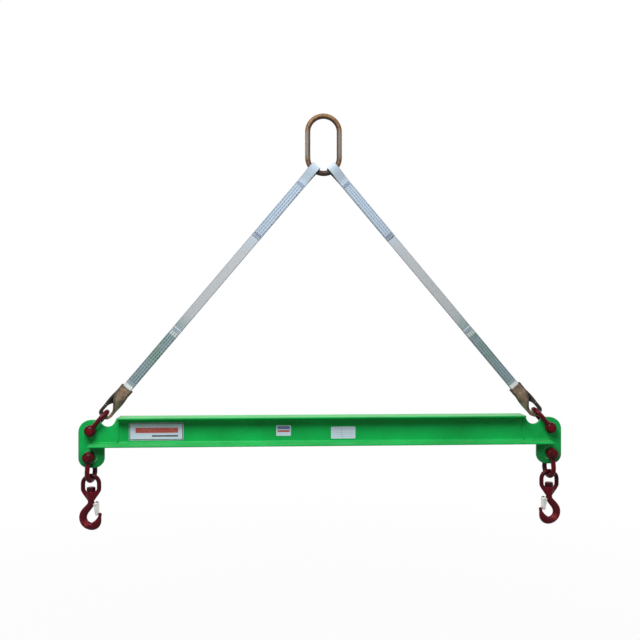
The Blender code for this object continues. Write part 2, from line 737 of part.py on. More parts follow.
def sleeve_mesh(name):
    stations = [s for s in lower_eye_stations() if s[0].z < LOWER_EYE_LENGTH - SLEEVE_SETBACK + GAP]
    inner = eye_rings(stations, PLY_GAP)
    outer = eye_rings(stations, PLY_GAP + SLEEVE_WALL)
    bm = bmesh.new()
    skins = []
    for rings in (outer, inner):
        loops = [[bm.verts.new(point) for point in ring] for ring in rings]
        for low, high in zip(loops, loops[1:]):
            for i in range(4):
                j = (i + 1) % 4
                bm.faces.new((low[i], low[j], high[j], high[i]))
        skins.append(loops)
    for end in (0, -1):
        for i in range(4):
            j = (i + 1) % 4
            bm.faces.new((skins[0][end][i], skins[0][end][j], skins[1][end][j], skins[1][end][i]))
    return solid(bm, name)


def sling_mesh(name):
    thick = WEBBING_PLY
    width = WEBBING_WIDTH / 2
    top = SLING_REACH - TOP_EYE_LENGTH
    low = LOWER_EYE_LENGTH
    double = thick + PLY_GAP
    single = thick / 2
    side = [(-double, low), (double, low), (double, low + LOWER_SPLICE_LENGTH),
            (single, low + LOWER_SPLICE_LENGTH + thick), (single, top - TOP_SPLICE_LENGTH - thick),
            (double, top - TOP_SPLICE_LENGTH), (double, top), (-double, top),
            (-double, top - TOP_SPLICE_LENGTH), (-single, top - TOP_SPLICE_LENGTH - thick),
            (-single, low + LOWER_SPLICE_LENGTH + thick), (-double, low + LOWER_SPLICE_LENGTH)]
    body = prism(name, side, -width - PLY_GAP, width + PLY_GAP, axis="X")
    lower_eye = lofted("lower_eye", eye_rings(lower_eye_stations(), 0))
    inside = LINK_INSIDE_WIDTH / 2 - SEAT_GAP
    slack = inside - sqrt(inside ** 2 - (width + PLY_GAP) ** 2) + SEAT_GAP
    spread = LINK_STOCK / 2 + EYE_PLAY + thick / 2
    depth = LINK_STOCK / 2 + slack + thick / 2
    together = thick / 2 + PLY_GAP / 2
    half = [(a, -b) for a, b in strap_loop(spread, depth, EYE_PLAY)]
    start = half[-1][1]
    steps = 6
    for i in range(1, steps + 1):
        t = i / steps
        half.append((spread + (together - spread) * eased(t), start - (TOP_EYE_LENGTH + start) * t))
    half.append((together, -TOP_EYE_LENGTH - BURY))
    path = [(-a, b) for a, b in reversed(half[1:])] + half
    middles = [Vector((0, a, SLING_REACH + b)) for a, b in path]
    wide = Vector((1, 0, 0))
    stations = []
    for middle, way in zip(middles, tangents(middles)):
        stations.append((middle, way.cross(wide).normalized(), wide, WEBBING_WIDTH, thick))
    top_eye = lofted("top_eye", ribbon(stations))
    return combined(body, [lower_eye, top_eye], "UNION")


# Assembly

for old in list(bpy.data.objects):
    bpy.data.objects.remove(old)

green_paint = finish("green_paint", (0.01, 0.36, 0.07), 0.4, 0.0)
red_paint = finish("red_paint", (0.19, 0.01, 0.02), 0.35, 0.1)
bolt_paint = finish("bolt_paint", (0.3, 0.01, 0.02), 0.35, 0.1)
bronze_steel = finish("bronze_steel", (0.12, 0.07, 0.03), 0.4, 0.8)
zinc_steel = finish("zinc_steel", (0.55, 0.54, 0.5), 0.35, 0.9)
grey_webbing = finish("grey_webbing", (0.5, 0.53, 0.54), 0.85, 0.0)
brown_sleeve = finish("brown_sleeve", (0.14, 0.12, 0.09), 0.9, 0.0)
label_white = finish("label_white", (0.75, 0.77, 0.76), 0.5, 0.0)

link_pivot = pivot("link_pivot", at(0, 0, 0))
node("master_link", link_mesh(), bronze_steel, link_pivot)

contact_z = link_low_centre - link_radius * cos(leg_angle)
bridle_pivot = pivot("bridle_pivot", at(0, 0, contact_z), link_pivot)
rock_z = upper_hole_z + (bow_centre + bolt_play) * cos(leg_angle)
beam_pivot = pivot("beam_pivot", at(0, 0, rock_z), bridle_pivot)
beam_frame = at(0, 0, beam_top)
node("i_beam", beam_mesh(), green_paint, beam_pivot, beam_frame)
large_label_middle = -web_end + LARGE_LABEL_INSET + LARGE_LABEL_WIDTH / 2
for name, middle, drop, width, height in (
        ("label_plate_large", large_label_middle, 0, LARGE_LABEL_WIDTH, LARGE_LABEL_HEIGHT),
        ("label_plate_small", -SMALL_LABEL_OFFSET, 0, SMALL_LABEL_WIDTH, SMALL_LABEL_HEIGHT),
        ("label_plate_middle", MIDDLE_LABEL_OFFSET, MIDDLE_LABEL_DROP, MIDDLE_LABEL_WIDTH, MIDDLE_LABEL_HEIGHT)):
    node(name, label_mesh(name, middle, drop, width, height), label_white, beam_pivot, beam_frame)

shackle_shape = shackle_mesh()
bolt_shape = bolt_mesh()
nut_shape = hex_nut("nut", NUT_FLATS, NUT_THICK, BOLT + 2 * BORE_CLEARANCE)
nut_shape.transform(at(0, SHACKLE_JAW / 2 + SHACKLE_STOCK + GAP, 0))
cotter_shape = cotter_mesh()
cotter_shape.transform(at(0, cotter_place(), 0))
bail_shape = bail_mesh()
hook_shape = hook_mesh()
shank_nut_shape = hex_nut("shank_nut", SHANK_NUT_FLATS, SHANK_NUT_THICK, SHANK + 2 * BORE_CLEARANCE)
shank_nut_shape.transform(at(0, 0, BAIL_BASE_DEPTH + GAP) @ turn(pi / 2, "X"))
latch_shape = latch_mesh()
latch_pin_shape = latch_pin_mesh()
spring_shape = latch_spring_mesh()


def shackle_nodes(name, frame, parent):
    hinge = pivot(name + "_pivot", frame, parent)
    node(name + "_bow", shackle_shape, red_paint, hinge)
    node(name + "_bolt", bolt_shape, bolt_paint, hinge)
    node(name + "_nut", nut_shape, bolt_paint, hinge)
    node(name + "_cotter", cotter_shape, zinc_steel, hinge)
    return hinge


for word, side in (("left", -1), ("right", 1)):
    node("end_plate_" + word, plate_mesh("end_plate_" + word, side), green_paint, beam_pivot, beam_frame)

    lean = turn(-side * leg_angle, "Y")
    upper_pin = at(side * half_span, 0, upper_hole_z) @ lean @ at(0, 0, bolt_play)
    shackle_nodes("upper_shackle_" + word, upper_pin, beam_pivot)
    leg_frame = upper_pin @ at(0, 0, shackle_reach)
    node("sling_" + word, sling_mesh("sling_" + word), grey_webbing, bridle_pivot, leg_frame)
    node("eye_sleeve_" + word, sleeve_mesh("eye_sleeve_" + word), brown_sleeve, bridle_pivot, leg_frame)

    lower_pin_z = lower_hole_z - HANG_PLAY * bolt_play
    twist = turn(side * lower_twist, "Z")
    lower_pin = at(side * half_span, 0, lower_pin_z) @ twist @ turn(pi, "Y")
    lower_hinge = shackle_nodes("lower_shackle_" + word, lower_pin, beam_pivot)

    bail_z = lower_pin_z - shackle_reach + stock_radius + GAP + BAIL_BAR / 2
    bail_pivot = pivot("bail_pivot_" + word, at(side * half_span, 0, bail_z), lower_hinge)
    node("swivel_bail_" + word, bail_shape, red_paint, bail_pivot)

    neck_z = bail_z - BAIL_BAR / 2 - BAIL_LENGTH - BAIL_BASE_DEPTH
    face = turn(0 if side == 1 else pi, "Z")
    hook_frame = at(side * half_span, 0, neck_z) @ face
    hook_pivot = pivot("hook_pivot_" + word, hook_frame, bail_pivot)
    node("hook_" + word, hook_shape, red_paint, hook_pivot)
    node("shank_nut_" + word, shank_nut_shape, red_paint, hook_pivot)

    latch_frame = hook_frame @ at(-LATCH_PIN_REACH, 0, -LATCH_PIN_DROP)
    latch_pivot = pivot("latch_pivot_" + word, latch_frame, hook_pivot)
    node("latch_" + word, latch_shape, zinc_steel, latch_pivot)
    node("latch_pin_" + word, latch_pin_shape, zinc_steel, latch_pivot)
    node("latch_spring_" + word, spring_shape, zinc_steel, latch_pivot)
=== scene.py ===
"""Looks of a 4 ft spreader beam on a two-leg web sling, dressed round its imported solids.

Metres, +Z up, X along the beam, the front towards -Y. The origin is the inside top of the master link.
"""
import json
from math import atan2, ceil, cos, pi, radians, sin, sqrt, tan

import bmesh
import bpy
from mathutils import Matrix, Vector


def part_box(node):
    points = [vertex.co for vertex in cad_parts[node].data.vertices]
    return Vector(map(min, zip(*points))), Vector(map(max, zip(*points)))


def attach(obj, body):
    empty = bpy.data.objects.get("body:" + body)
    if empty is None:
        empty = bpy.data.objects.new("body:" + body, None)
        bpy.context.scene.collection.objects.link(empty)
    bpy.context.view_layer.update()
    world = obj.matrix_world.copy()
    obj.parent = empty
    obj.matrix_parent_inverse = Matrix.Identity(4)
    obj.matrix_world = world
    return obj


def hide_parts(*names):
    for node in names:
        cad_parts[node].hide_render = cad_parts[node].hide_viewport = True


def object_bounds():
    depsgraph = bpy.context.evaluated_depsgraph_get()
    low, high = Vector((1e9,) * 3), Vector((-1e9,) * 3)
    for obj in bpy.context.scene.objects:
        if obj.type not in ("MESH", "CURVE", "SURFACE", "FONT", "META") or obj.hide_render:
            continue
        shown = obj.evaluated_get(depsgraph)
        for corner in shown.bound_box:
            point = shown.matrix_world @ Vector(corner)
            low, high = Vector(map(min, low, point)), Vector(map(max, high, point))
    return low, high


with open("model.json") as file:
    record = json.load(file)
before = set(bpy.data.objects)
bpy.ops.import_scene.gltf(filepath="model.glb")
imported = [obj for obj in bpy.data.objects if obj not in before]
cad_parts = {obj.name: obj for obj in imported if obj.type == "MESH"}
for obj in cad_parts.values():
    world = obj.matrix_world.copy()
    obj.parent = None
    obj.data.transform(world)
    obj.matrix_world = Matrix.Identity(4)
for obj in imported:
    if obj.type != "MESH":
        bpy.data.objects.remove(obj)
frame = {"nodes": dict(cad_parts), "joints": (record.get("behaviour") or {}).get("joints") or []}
cad_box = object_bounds()


# The I-beam is a length of hot-rolled 3 inch steel section with sloping flanges.
# Its top flange and web are sawn back at both ends, its bottom flange is slotted for the end plates,
# and it is sprayed green all over after welding.

MM = 0.001
WEB_THICK = 4.3 * MM
FLANGE_TOE = 4.3125 * MM
FLANGE_ROOT = 8.8875 * MM
ROOT_RADIUS = 5 * MM
TOE_RADIUS = 2 * MM
ROLLED_CORNER = 0.8 * MM
FIT = 0.3 * MM
ARC_STEP = radians(9)
CREASE = radians(40)
PAINT_GREEN = (20, 178, 85)
PAINT_DEEP_GREEN = (16, 158, 71)
PAINT_DUST_AND_SHEEN = (126, 172, 126)
PAINT_SHADE = (12, 96, 44)
PAINT_RUBBED = (150, 200, 160)
PLATE_INNER_EDGE = 35 * MM
PLATE_EDGE = 32 * MM


def colour(rgb):
    """Linear colour for a socket from everyday 0 to 255 values."""
    shares = [part / 255 for part in rgb]
    linear = [s / 12.92 if s <= 0.04045 else ((s + 0.055) / 1.055) ** 2.4 for s in shares]
    return (*linear, 1)


class Wire:
    """An output socket of a material's nodes, so that shader maths reads as expressions."""

    def __init__(self, tree, socket):
        self.tree = tree
        self.socket = socket

    def node(self, kind, settings=None, sockets=None, out=0):
        """Any other node: its settings first, then the values or wires of its sockets."""
        made = self.tree.nodes.new("ShaderNode" + kind)
        for key, value in (settings or {}).items():
            setattr(made, key, value)
        for key, value in (sockets or {}).items():
            if isinstance(value, Wire):
                self.tree.links.new(value.socket, made.inputs[key])
            else:
                made.inputs[key].default_value = value
        return Wire(self.tree, made.outputs[out])

    def math(self, operation, first, second=0.0):
        return self.node("Math", {"operation": operation}, {0: first, 1: second})

    def __add__(self, other):
        return self.math("ADD", self, other)

    def __sub__(self, other):
        return self.math("SUBTRACT", self, other)

    def __rsub__(self, other):
        return self.math("SUBTRACT", other, self)

    def __mul__(self, other):
        return self.math("MULTIPLY", self, other)

    def __truediv__(self, other):
        return self.math("DIVIDE", self, other)

    def __pow__(self, other):
        return self.math("POWER", self, other)

    def __gt__(self, other):
        return self.math("GREATER_THAN", self, other)

    def __abs__(self):
        return self.math("ABSOLUTE", self)

    __radd__ = __add__
    __rmul__ = __mul__

    def larger(self, other):
        return self.math("MAXIMUM", self, other)

    def sine(self):
        return self.math("SINE", self)

    def step(self, low, high):
        """0 below low, 1 above high, and a soft change between them."""
        return self.node("MapRange", {"interpolation_type": "SMOOTHSTEP"}, {0: self, 1: low, 2: high})

    def parts(self):
        """The three components of a vector."""
        return [self.node("SeparateXYZ", None, {0: self}, out) for out in range(3)]

    def between(self, low, high):
        """Colour mixed from low to high by this value; each is a wire or everyday 0 to 255 values."""
        shades = [shade if isinstance(shade, Wire) else colour(shade) for shade in (low, high)]
        return self.node("Mix", {"data_type": "RGBA"}, {0: self, 6: shades[0], 7: shades[1]}, 2)

    def noise(self, scale, detail=2.0, roughness=0.5):
        """Soft noise over this place, from 0 to 1."""
        sockets = {"Vector": self, "Scale": scale, "Detail": detail, "Roughness": roughness}
        return self.node("TexNoise", None, sockets)

    def raised(self, distance, strength=1.0):
        """Normal of a surface whose height is this value times distance."""
        return self.node("Bump", None, {"Height": self, "Distance": distance, "Strength": strength})

    def into(self, shader, socket):
        self.tree.links.new(self.socket, shader.inputs[socket])


def new_finish(name, **constants):
    """Fresh material with its shader's steady values set, its shader and the place on the object."""
    material = bpy.data.materials.new(name)
    material.use_nodes = True
    tree = material.node_tree
    shader = tree.nodes["Principled BSDF"]
    for socket, value in constants.items():
        shader.inputs[socket.replace("_", " ").title().replace("Ior", "IOR")].default_value = value
    place = Wire(tree, tree.nodes.new("ShaderNodeTexCoord").outputs["Object"])
    return material, shader, place


def facing_up(place):
    """Height of the surface's normal: 1 on level tops, 0 on walls."""
    normal = place.node("NewGeometry", None, None, "Normal")
    return normal.parts()[2]


def sprayed_green(name, darkened=None, rubbed=None):
    """Green spray paint, dusty and with a painted pale sheen on its level tops, most of all on the highest.

    Where given, the two functions tell from a place how far it takes a painted shade and how far it is
    rubbed pale.
    """
    material, shader, place = new_finish(name, specular_ior_level=0.13)
    cloud = place.noise(7, 4, 0.6)
    peel = place.noise(900, 2)
    high = place.parts()[2].step(beam_low.z, beam_high.z) * 0.7 + 0.3
    drift = place.noise(38, 5, 0.65).step(0.32, 0.75) * 0.35 + 0.25
    # Dust and a painted sheen: level tops are painted paler, the highest most.
    dust_and_sheen = facing_up(place).step(0.6, 0.95) * high * drift
    coat = cloud.step(0.3, 0.7).between(PAINT_DEEP_GREEN, PAINT_GREEN)
    # Where given, a painted shade darkens the paint.
    if darkened:
        coat = (darkened(place) * (cloud * 0.5 + 0.35)).between(coat, PAINT_SHADE)
    if rubbed:
        coat = (rubbed(place) * place.noise(160, 4).step(0.35, 0.65)).between(coat, PAINT_RUBBED)
    dust_and_sheen.between(coat, PAINT_DUST_AND_SHEEN).into(shader, "Base Color")
    (0.30 + cloud * 0.12 + dust_and_sheen * 0.2).into(shader, "Roughness")
    (peel + place.noise(90, 3) * 2.0).raised(0.04 * MM, 0.5).into(shader, "Normal")
    return material


def arc(centre_a, centre_b, radius, start, end, step=ARC_STEP):
    """Points round a centre from a start angle to an end angle."""
    count = max(2, ceil(abs(end - start) / step - 0.01))
    angles = [start + (end - start) * i / count for i in range(count + 1)]
    return [(centre_a + radius * cos(a), centre_b + radius * sin(a)) for a in angles]


def rounded(corners):
    """Closed outline through (a, b, radius) corners, each rounded by its radius."""
    points = []
    for i, (a, b, radius) in enumerate(corners):
        here = Vector((a, b))
        if radius == 0:
            points.append((a, b))
            continue
        back = (Vector(corners[i - 1][:2]) - here).normalized()
        ahead = (Vector(corners[(i + 1) % len(corners)][:2]) - here).normalized()
        half = back.angle(ahead) / 2
        centre = here + (back + ahead).normalized() * (radius / sin(half))
        first = here + back * (radius / tan(half)) - centre
        last = here + ahead * (radius / tan(half)) - centre
        start = atan2(first.y, first.x)
        points += arc(centre.x, centre.y, radius, start, start - first.angle_signed(last))
    return points


def ring_solid(rings, closed=False):
    """Closed mesh of rings of points, each joined to the next, with flat ends unless it meets itself."""
    bm = bmesh.new()
    loops = [[bm.verts.new(point) for point in ring] for ring in rings]
    pairs = list(zip(loops, loops[1:]))
    if closed:
        pairs.append((loops[-1], loops[0]))
    for low, high in pairs:
        for i in range(len(low)):
            j = (i + 1) % len(low)
            bm.faces.new((low[i], low[j], high[j], high[i]))
    if not closed:
        bm.faces.new(loops[0])
        bm.faces.new(loops[-1])
    bmesh.ops.recalc_face_normals(bm, faces=bm.faces)
    mesh = bpy.data.meshes.new("shape")
    bm.to_mesh(mesh)
    bm.free()
    return mesh


def drawn_out(outline, low, high, axis):
    """Outline drawn out along X, from (y, z) points, or along Y, from (x, z) points."""
    if axis == "X":
        return ring_solid([[Vector((at, a, b)) for a, b in outline] for at in (low, high)])
    return ring_solid([[Vector((a, at, b)) for a, b in outline] for at in (low, high)])


def worked(mesh, *steps):
    """Mesh after modifiers, each given by its type and settings, where a mesh stands for an object."""
    helpers = [bpy.data.objects.new("work", mesh)]
    bpy.context.collection.objects.link(helpers[0])
    for kind, settings in steps:
        modifier = helpers[0].modifiers.new(kind, kind)
        for key, value in settings.items():
            if isinstance(value, bpy.types.Mesh):
                value = bpy.data.objects.new("tool", value)
                bpy.context.collection.objects.link(value)
                helpers.append(value)
            setattr(modifier, key, value)
    graph = bpy.context.evaluated_depsgraph_get()
    result = bpy.data.meshes.new_from_object(helpers[0].evaluated_get(graph))
    for helper in helpers:
        bpy.data.objects.remove(helper)
    return result


def cut(tool):
    """Step for worked() that takes a tool's shape away."""
    return "BOOLEAN", {"operation": "DIFFERENCE", "object": tool}


def piece(name, mesh, material, body, slot, *nodes):
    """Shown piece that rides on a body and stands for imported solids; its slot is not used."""
    mesh.shade_smooth()
    mesh.set_sharp_from_angle(angle=CREASE)
    mesh.materials.clear()
    mesh.materials.append(material)
    thing = bpy.data.objects.new(name, mesh)
    bpy.context.collection.objects.link(thing)
    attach(thing, body)
    if nodes:
        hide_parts(*nodes)


beam_low, beam_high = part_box("i_beam")
plate_low, plate_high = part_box("end_plate_right")
beam_depth = beam_high.z - beam_low.z
web_end = plate_low.x - FIT
hole_x = plate_high.x - PLATE_EDGE
lug_inner = hole_x - PLATE_INNER_EDGE


def beam_steel():
    """Rolled section, its two ends sawn back and its bottom flange slotted."""
    half = beam_high.y
    web = WEB_THICK / 2
    quarter = [(half, 0, ROLLED_CORNER),
               (half, -FLANGE_TOE, TOE_RADIUS),
               (web, -FLANGE_ROOT, ROOT_RADIUS)]
    right = quarter + [(a, -beam_depth - b, r) for a, b, r in reversed(quarter)]
    corners = right + [(-a, b, r) for a, b, r in reversed(right)]
    section = [(a, b + beam_high.z) for a, b in rounded(corners)]
    mesh = drawn_out(section, beam_low.x, beam_high.x, "X")
    past = 2 * beam_high.x
    sawn_end = (web_end, beam_low.z + FLANGE_ROOT, -past, past)
    plate_slot = (lug_inner - FIT, -past, plate_low.y - FIT, plate_high.y + FIT)
    steps = []
    for side in (1, -1):
        for start, bottom, front, back in (sawn_end, plate_slot):
            near = side * start
            far = side * past
            block = [(near, bottom), (far, bottom), (far, past), (near, past)]
            steps.append(cut(drawn_out(block, front, back, "Y")))
    return worked(mesh, *steps)


green_paint = sprayed_green("beam_paint")
piece("beam_section", beam_steel(), green_paint, "beam", "green_paint", "i_beam")


# The two end plates are flame-cut from flat steel bar and welded in line with the web.
# Each has a drilled hole for the upper and the lower shackle, rounded corners, and a notch that clears
# the sling's eye. Their edges are ground smooth before the green spray.

PLATE_TOP_RADIUS = 32 * MM
PLATE_LUG_RADIUS = 26 * MM
PLATE_HOLE = 20 * MM
HOLE_PITCH = 67 * MM
UPPER_HOLE_DROP = 35 * MM
NOTCH_RADIUS = 20 * MM
NOTCH_INSET = 43.5 * MM
NOTCH_DEPTH = 25 * MM
NOTCH_LIP = 7 * MM
GROUND_EDGE = 0.8 * MM
COUNTERSINK = 3.2 * MM
DRILL_SIDES = 64
SHADE_BELOW = 46 * MM
RUBBED_RING = 17 * MM
RUBBED_WIDTH = 1.8 * MM
SIDES = {"left": -1, "right": 1}


def inset(outline, distance):
    """The same outline drawn in by a distance; the outline runs anticlockwise."""
    points = []
    for i, here in enumerate(outline):
        here = Vector(here)
        before = (here - Vector(outline[i - 1])).normalized()
        after = (Vector(outline[(i + 1) % len(outline)]) - here).normalized()
        inward = Vector((-before.y - after.y, before.x + after.x))
        points.append(tuple(here + inward * (distance / (1 + before.dot(after)))))
    return points


def edged(outline, low, high, edge, side=1):
    """Outline of (x, z) points drawn out along Y, its edges ground off; side -1 mirrors it in X."""
    small = inset(outline, edge)
    rings = []
    for points, y in ((small, low), (outline, low + edge), (outline, high - edge), (small, high)):
        rings.append([Vector((side * x, y, z)) for x, z in points])
    return ring_solid(rings)


def once_round(count):
    """Even angles round a circle."""
    return [2 * pi * i / count for i in range(count)]


def turned(profile, sides=DRILL_SIDES):
    """Profile of (radius, y) points turned about the Y axis."""
    angles = once_round(sides)
    return ring_solid([[Vector((r * cos(a), y, r * sin(a))) for a in angles] for r, y in profile])


def end_plate(side):
    """Plate at the beam's right end, where side is 1, or its left end, where side is -1."""
    top = plate_high.z
    bottom = plate_low.z
    shelf = beam_low.z + FLANGE_ROOT + FIT
    notch_x = hole_x - NOTCH_INSET
    notch_z = beam_high.z + NOTCH_RADIUS - NOTCH_DEPTH
    lip_z = top - NOTCH_LIP
    lip_reach = sqrt((NOTCH_RADIUS + NOTCH_LIP) ** 2 - (lip_z - notch_z) ** 2)
    lip_angle = atan2(lip_z - notch_z, lip_reach)
    outline = rounded([(plate_low.x, shelf, 0),
                       (lug_inner, shelf, 0),
                       (lug_inner, bottom, PLATE_LUG_RADIUS),
                       (plate_high.x, bottom, PLATE_LUG_RADIUS),
                       (plate_high.x, top, PLATE_TOP_RADIUS),
                       (notch_x + lip_reach, top, 0)])
    outline += arc(notch_x + lip_reach, lip_z, NOTCH_LIP, pi / 2, pi + lip_angle)[1:]
    outline += arc(notch_x, notch_z, NOTCH_RADIUS, lip_angle, -pi - lip_angle)[1:-1]
    outline += arc(notch_x - lip_reach, lip_z, NOTCH_LIP, -lip_angle, pi / 2)
    outline.append((plate_low.x, top))
    bore = PLATE_HOLE / 2
    edge = plate_low.y + GROUND_EDGE
    flank = [(bore + COUNTERSINK, edge - COUNTERSINK), (bore, edge)]
    steps = []
    for drop in (UPPER_HOLE_DROP, UPPER_HOLE_DROP + HOLE_PITCH):
        drill = turned(flank + [(r, -y) for r, y in reversed(flank)])
        drill.transform(Matrix.Translation((side * hole_x, 0, beam_high.z - drop)))
        steps.append(cut(drill))
    return worked(edged(outline, plate_low.y, plate_high.y, GROUND_EDGE, side), *steps)


def shaded_lug(place):
    """Painted shade darkens a plate below the beam, more towards its foot."""
    below = place.parts()[2] - beam_low.z
    return 1 - below.step(-SHADE_BELOW, 0.0)


def rubbed_rings(place):
    """The ears of the lower shackles rub rings round their holes."""
    x, y, z = place.parts()
    aside = abs(x) - hole_x
    down = z - (beam_high.z - UPPER_HOLE_DROP - HOLE_PITCH)
    from_hole = (aside * aside + down * down) ** 0.5
    return (1 - abs(from_hole - RUBBED_RING).step(0.3 * RUBBED_WIDTH, RUBBED_WIDTH)) * 0.7


plate_paint = sprayed_green("plate_paint", shaded_lug, rubbed_rings)
for word, side in SIDES.items():
    piece("flame_cut_plate_" + word, end_plate(side), plate_paint, "beam", "green_paint",
          "end_plate_" + word)


# Welds hold each end plate to the web, to the top of the bottom flange and to its underside.
# They are hand-laid fillet beads with even ripples, painted over with the rest.

BEAD = 2.9 * MM
WEB_BEAD = 2.4 * MM
RIPPLE = 3.6 * MM
RIPPLE_RISE = 0.1
RIPPLE_POINTS = 4
BEAD_TAPER = 0.8
BEAD_SIDES = 12


def bar_ring(centre, way, across, half_a, half_b, sides):
    """Oval ring of points round a centre line; across is the direction of half_b."""
    across = (across - way * across.dot(way)).normalized()
    side = across.cross(way)
    angles = once_round(sides)
    return [centre + side * (half_a * cos(a)) + across * (half_b * sin(a)) for a in angles]


def bead(start, end, radius):
    """Rippled bead of round section from start to end, with rounded ends."""
    length = (end - start).length
    way = (end - start).normalized()
    count = ceil(length / (RIPPLE / RIPPLE_POINTS))
    rings = []
    for i in range(count + 1):
        at = length * i / count
        from_end = min(at, length - at)
        swell = sqrt(1 - max(0, 1 - from_end / radius) ** 2 * BEAD_TAPER)
        grown = radius * swell * (1 + RIPPLE_RISE * sin(2 * pi * at / RIPPLE))
        rings.append(bar_ring(start + way * at, way, way.orthogonal(), grown, grown, BEAD_SIDES))
    return ring_solid(rings)


def joined(meshes):
    """One mesh that holds several separate shapes."""
    bm = bmesh.new()
    for mesh in meshes:
        bm.from_mesh(mesh)
    result = bpy.data.meshes.new("shape")
    bm.to_mesh(result)
    bm.free()
    return result


def plate_welds(side):
    """The six beads at one end, front and back."""
    web = WEB_THICK / 2
    face = plate_high.y
    shelf = beam_low.z + FLANGE_ROOT
    butt = side * (web_end + FIT / 2)
    outer = side * (beam_high.x - BEAD)
    beads = []
    for front in (-1, 1):
        beads.append(bead(Vector((butt, front * web, beam_high.z - FLANGE_ROOT - ROOT_RADIUS / 2)),
                          Vector((butt, front * web, shelf + ROOT_RADIUS / 2)), WEB_BEAD))
        for inner, height in ((web_end, shelf), (lug_inner, beam_low.z)):
            beads.append(bead(Vector((side * (inner + BEAD), front * face, height)),
                              Vector((outer, front * face, height)), BEAD))
    return joined(beads)


for word, side in SIDES.items():
    piece("plate_welds_" + word, plate_welds(side), green_paint, "beam", "green_paint")


# Three label plates are stuck to the front of the web: thin coated sheet with rounded corners.
# The large one is printed with plain colour bars inside a dark rule, the small one with two plain bands,
# and the middle-sized one with the ruled lines of an empty form.

LABEL_WHITE = (201, 214, 232)
LABEL_GREY = (172, 184, 182)
LABEL_RULE = (38, 40, 44)
LABEL_RED = (176, 62, 52)
LABEL_BLUE = (74, 92, 140)
LABEL_PALE_BLUE = (202, 217, 234)
RULE_OUTSIDE = (0.008, 0.992, 0.025, 0.975)
RULE_INSIDE = (0.022, 0.978, 0.07, 0.93)
RED_BAR = (0.12, 0.9, 0.42, 0.72)
DARK_BAR = (0.42, 0.9, 0.2, 0.29)
BLUE_BAND = (0.08, 0.92, 0.62, 0.92)
RED_BAND = (0.08, 0.92, 0.36, 0.54)
FORM = (0.06, 0.94, 0.1, 0.9)
FORM_POST = (0.44, 0.455, 0.1, 0.9)
FORM_LINES = 6


def label_finish(name, draw):
    """Coated label: draw gives the colour from the share of the way across and up the plate."""
    low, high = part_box(name)
    material, shader, place = new_finish(name + "_print", roughness=0.35, coat_weight=0.3)
    x, y, z = place.parts()
    across = (x - low.x) / (high.x - low.x)
    up = (z - low.z) / (high.z - low.z)
    scuff = place.noise(120, 5, 0.7).step(0.45, 0.8) * 0.25
    scuff.between(draw(across, up), LABEL_GREY).into(shader, "Base Color")
    place.noise(600, 2).raised(0.02 * MM, 0.4).into(shader, "Normal")
    frame["nodes"][name].data.materials.clear()
    frame["nodes"][name].data.materials.append(material)


def band(share, low, high):
    """1 where a share lies between low and high."""
    return (share > low) * (1 - (share > high))


def printed(across, up, left, right, low, high):
    """1 inside a block given by shares of the plate's width and height."""
    return band(across, left, right) * band(up, low, high)


def large_print(across, up):
    rule = printed(across, up, *RULE_OUTSIDE) * (1 - printed(across, up, *RULE_INSIDE))
    field = printed(across, up, *RED_BAR).between(LABEL_WHITE, LABEL_RED)
    return rule.larger(printed(across, up, *DARK_BAR)).between(field, LABEL_RULE)


def small_print(across, up):
    field = printed(across, up, *BLUE_BAND).between(LABEL_WHITE, LABEL_BLUE)
    return printed(across, up, *RED_BAND).between(field, LABEL_RED)


def middle_print(across, up):
    from_line = abs((up * (FORM_LINES * pi)).sine())
    lines = (1 - from_line.step(0.1, 0.2)) * printed(across, up, *FORM)
    ruled = lines.larger(printed(across, up, *FORM_POST))
    return (ruled * 0.6).between(LABEL_PALE_BLUE, LABEL_RULE)


label_finish("label_plate_large", large_print)
label_finish("label_plate_small", small_print)
label_finish("label_plate_middle", middle_print)


# Four half-inch shackles join the plates to the sling above and to the hooks below. Each is a drop-forged
# bow with round ears, a headed bolt, a hexagon nut and a split pin through the bolt's tail. The bows are
# dipped in dark red enamel, the bolts and nuts in a brighter red, and the split pins are zinc plated.

SHACKLE_STOCK = 12.7 * MM
SHACKLE_JAW = 20.6 * MM
SHACKLE_BOW = 33.3 * MM
SHACKLE_INSIDE = 47.8 * MM
SHACKLE_EAR = 30 * MM
EAR_ROUND = 3 * MM
BOLT = 15.9 * MM
BOLT_HEAD = 25 * MM
BOLT_HEAD_THICK = 8 * MM
BOLT_HEAD_DOME = 3.6 * MM
BOLT_HEAD_CHAMFER = 0.6 * MM
DOME_SHARES = (0.15, 0.4, 0.6, 0.75, 0.87, 0.95, 1)
NUT_FLATS = 24 * MM
NUT_THICK = 12 * MM
NUT_FACE_SHARE = 0.97
NUT_SLOPE = 0.58
NUT_LEVELS = (0, 0.03, 0.06, 0.1, 0.5, 0.9, 0.94, 0.97, 1)
NUT_SIDES = 72
BOLT_TAIL = 9 * MM
THREAD_PITCH = 2.3 * MM
THREAD_DEPTH = 1.1 * MM
THREAD_FORM = ((0.1, 0), (0.5, THREAD_DEPTH), (0.9, 0))
COTTER_WIRE = 1.6 * MM
COTTER_GAP = 0.2 * MM
COTTER_SIDES = 10
COTTER_EYE = 7 * MM
COTTER_TAIL = 2.5 * MM
COTTER_SPLAY = 3.5 * MM
BORE_CLEARANCE = 0.35 * MM
FORGING_GRAIN = 0.9 * MM
FORGING_PASSES = 10
BAR_SIDES = 28
FORE_AFT = Vector((0, 1, 0))
LINK_STOCK = 14.3 * MM
LINK_INSIDE_WIDTH = 70 * MM
ENAMEL_RED = (84, 9, 22)
ENAMEL_DARK = (36, 2, 8)
ENAMEL_RUBBED_AND_HIGHLIGHT = (162, 56, 63)
BOLT_RED = (104, 9, 17)
BOLT_SHADED_RED = (86, 9, 17)
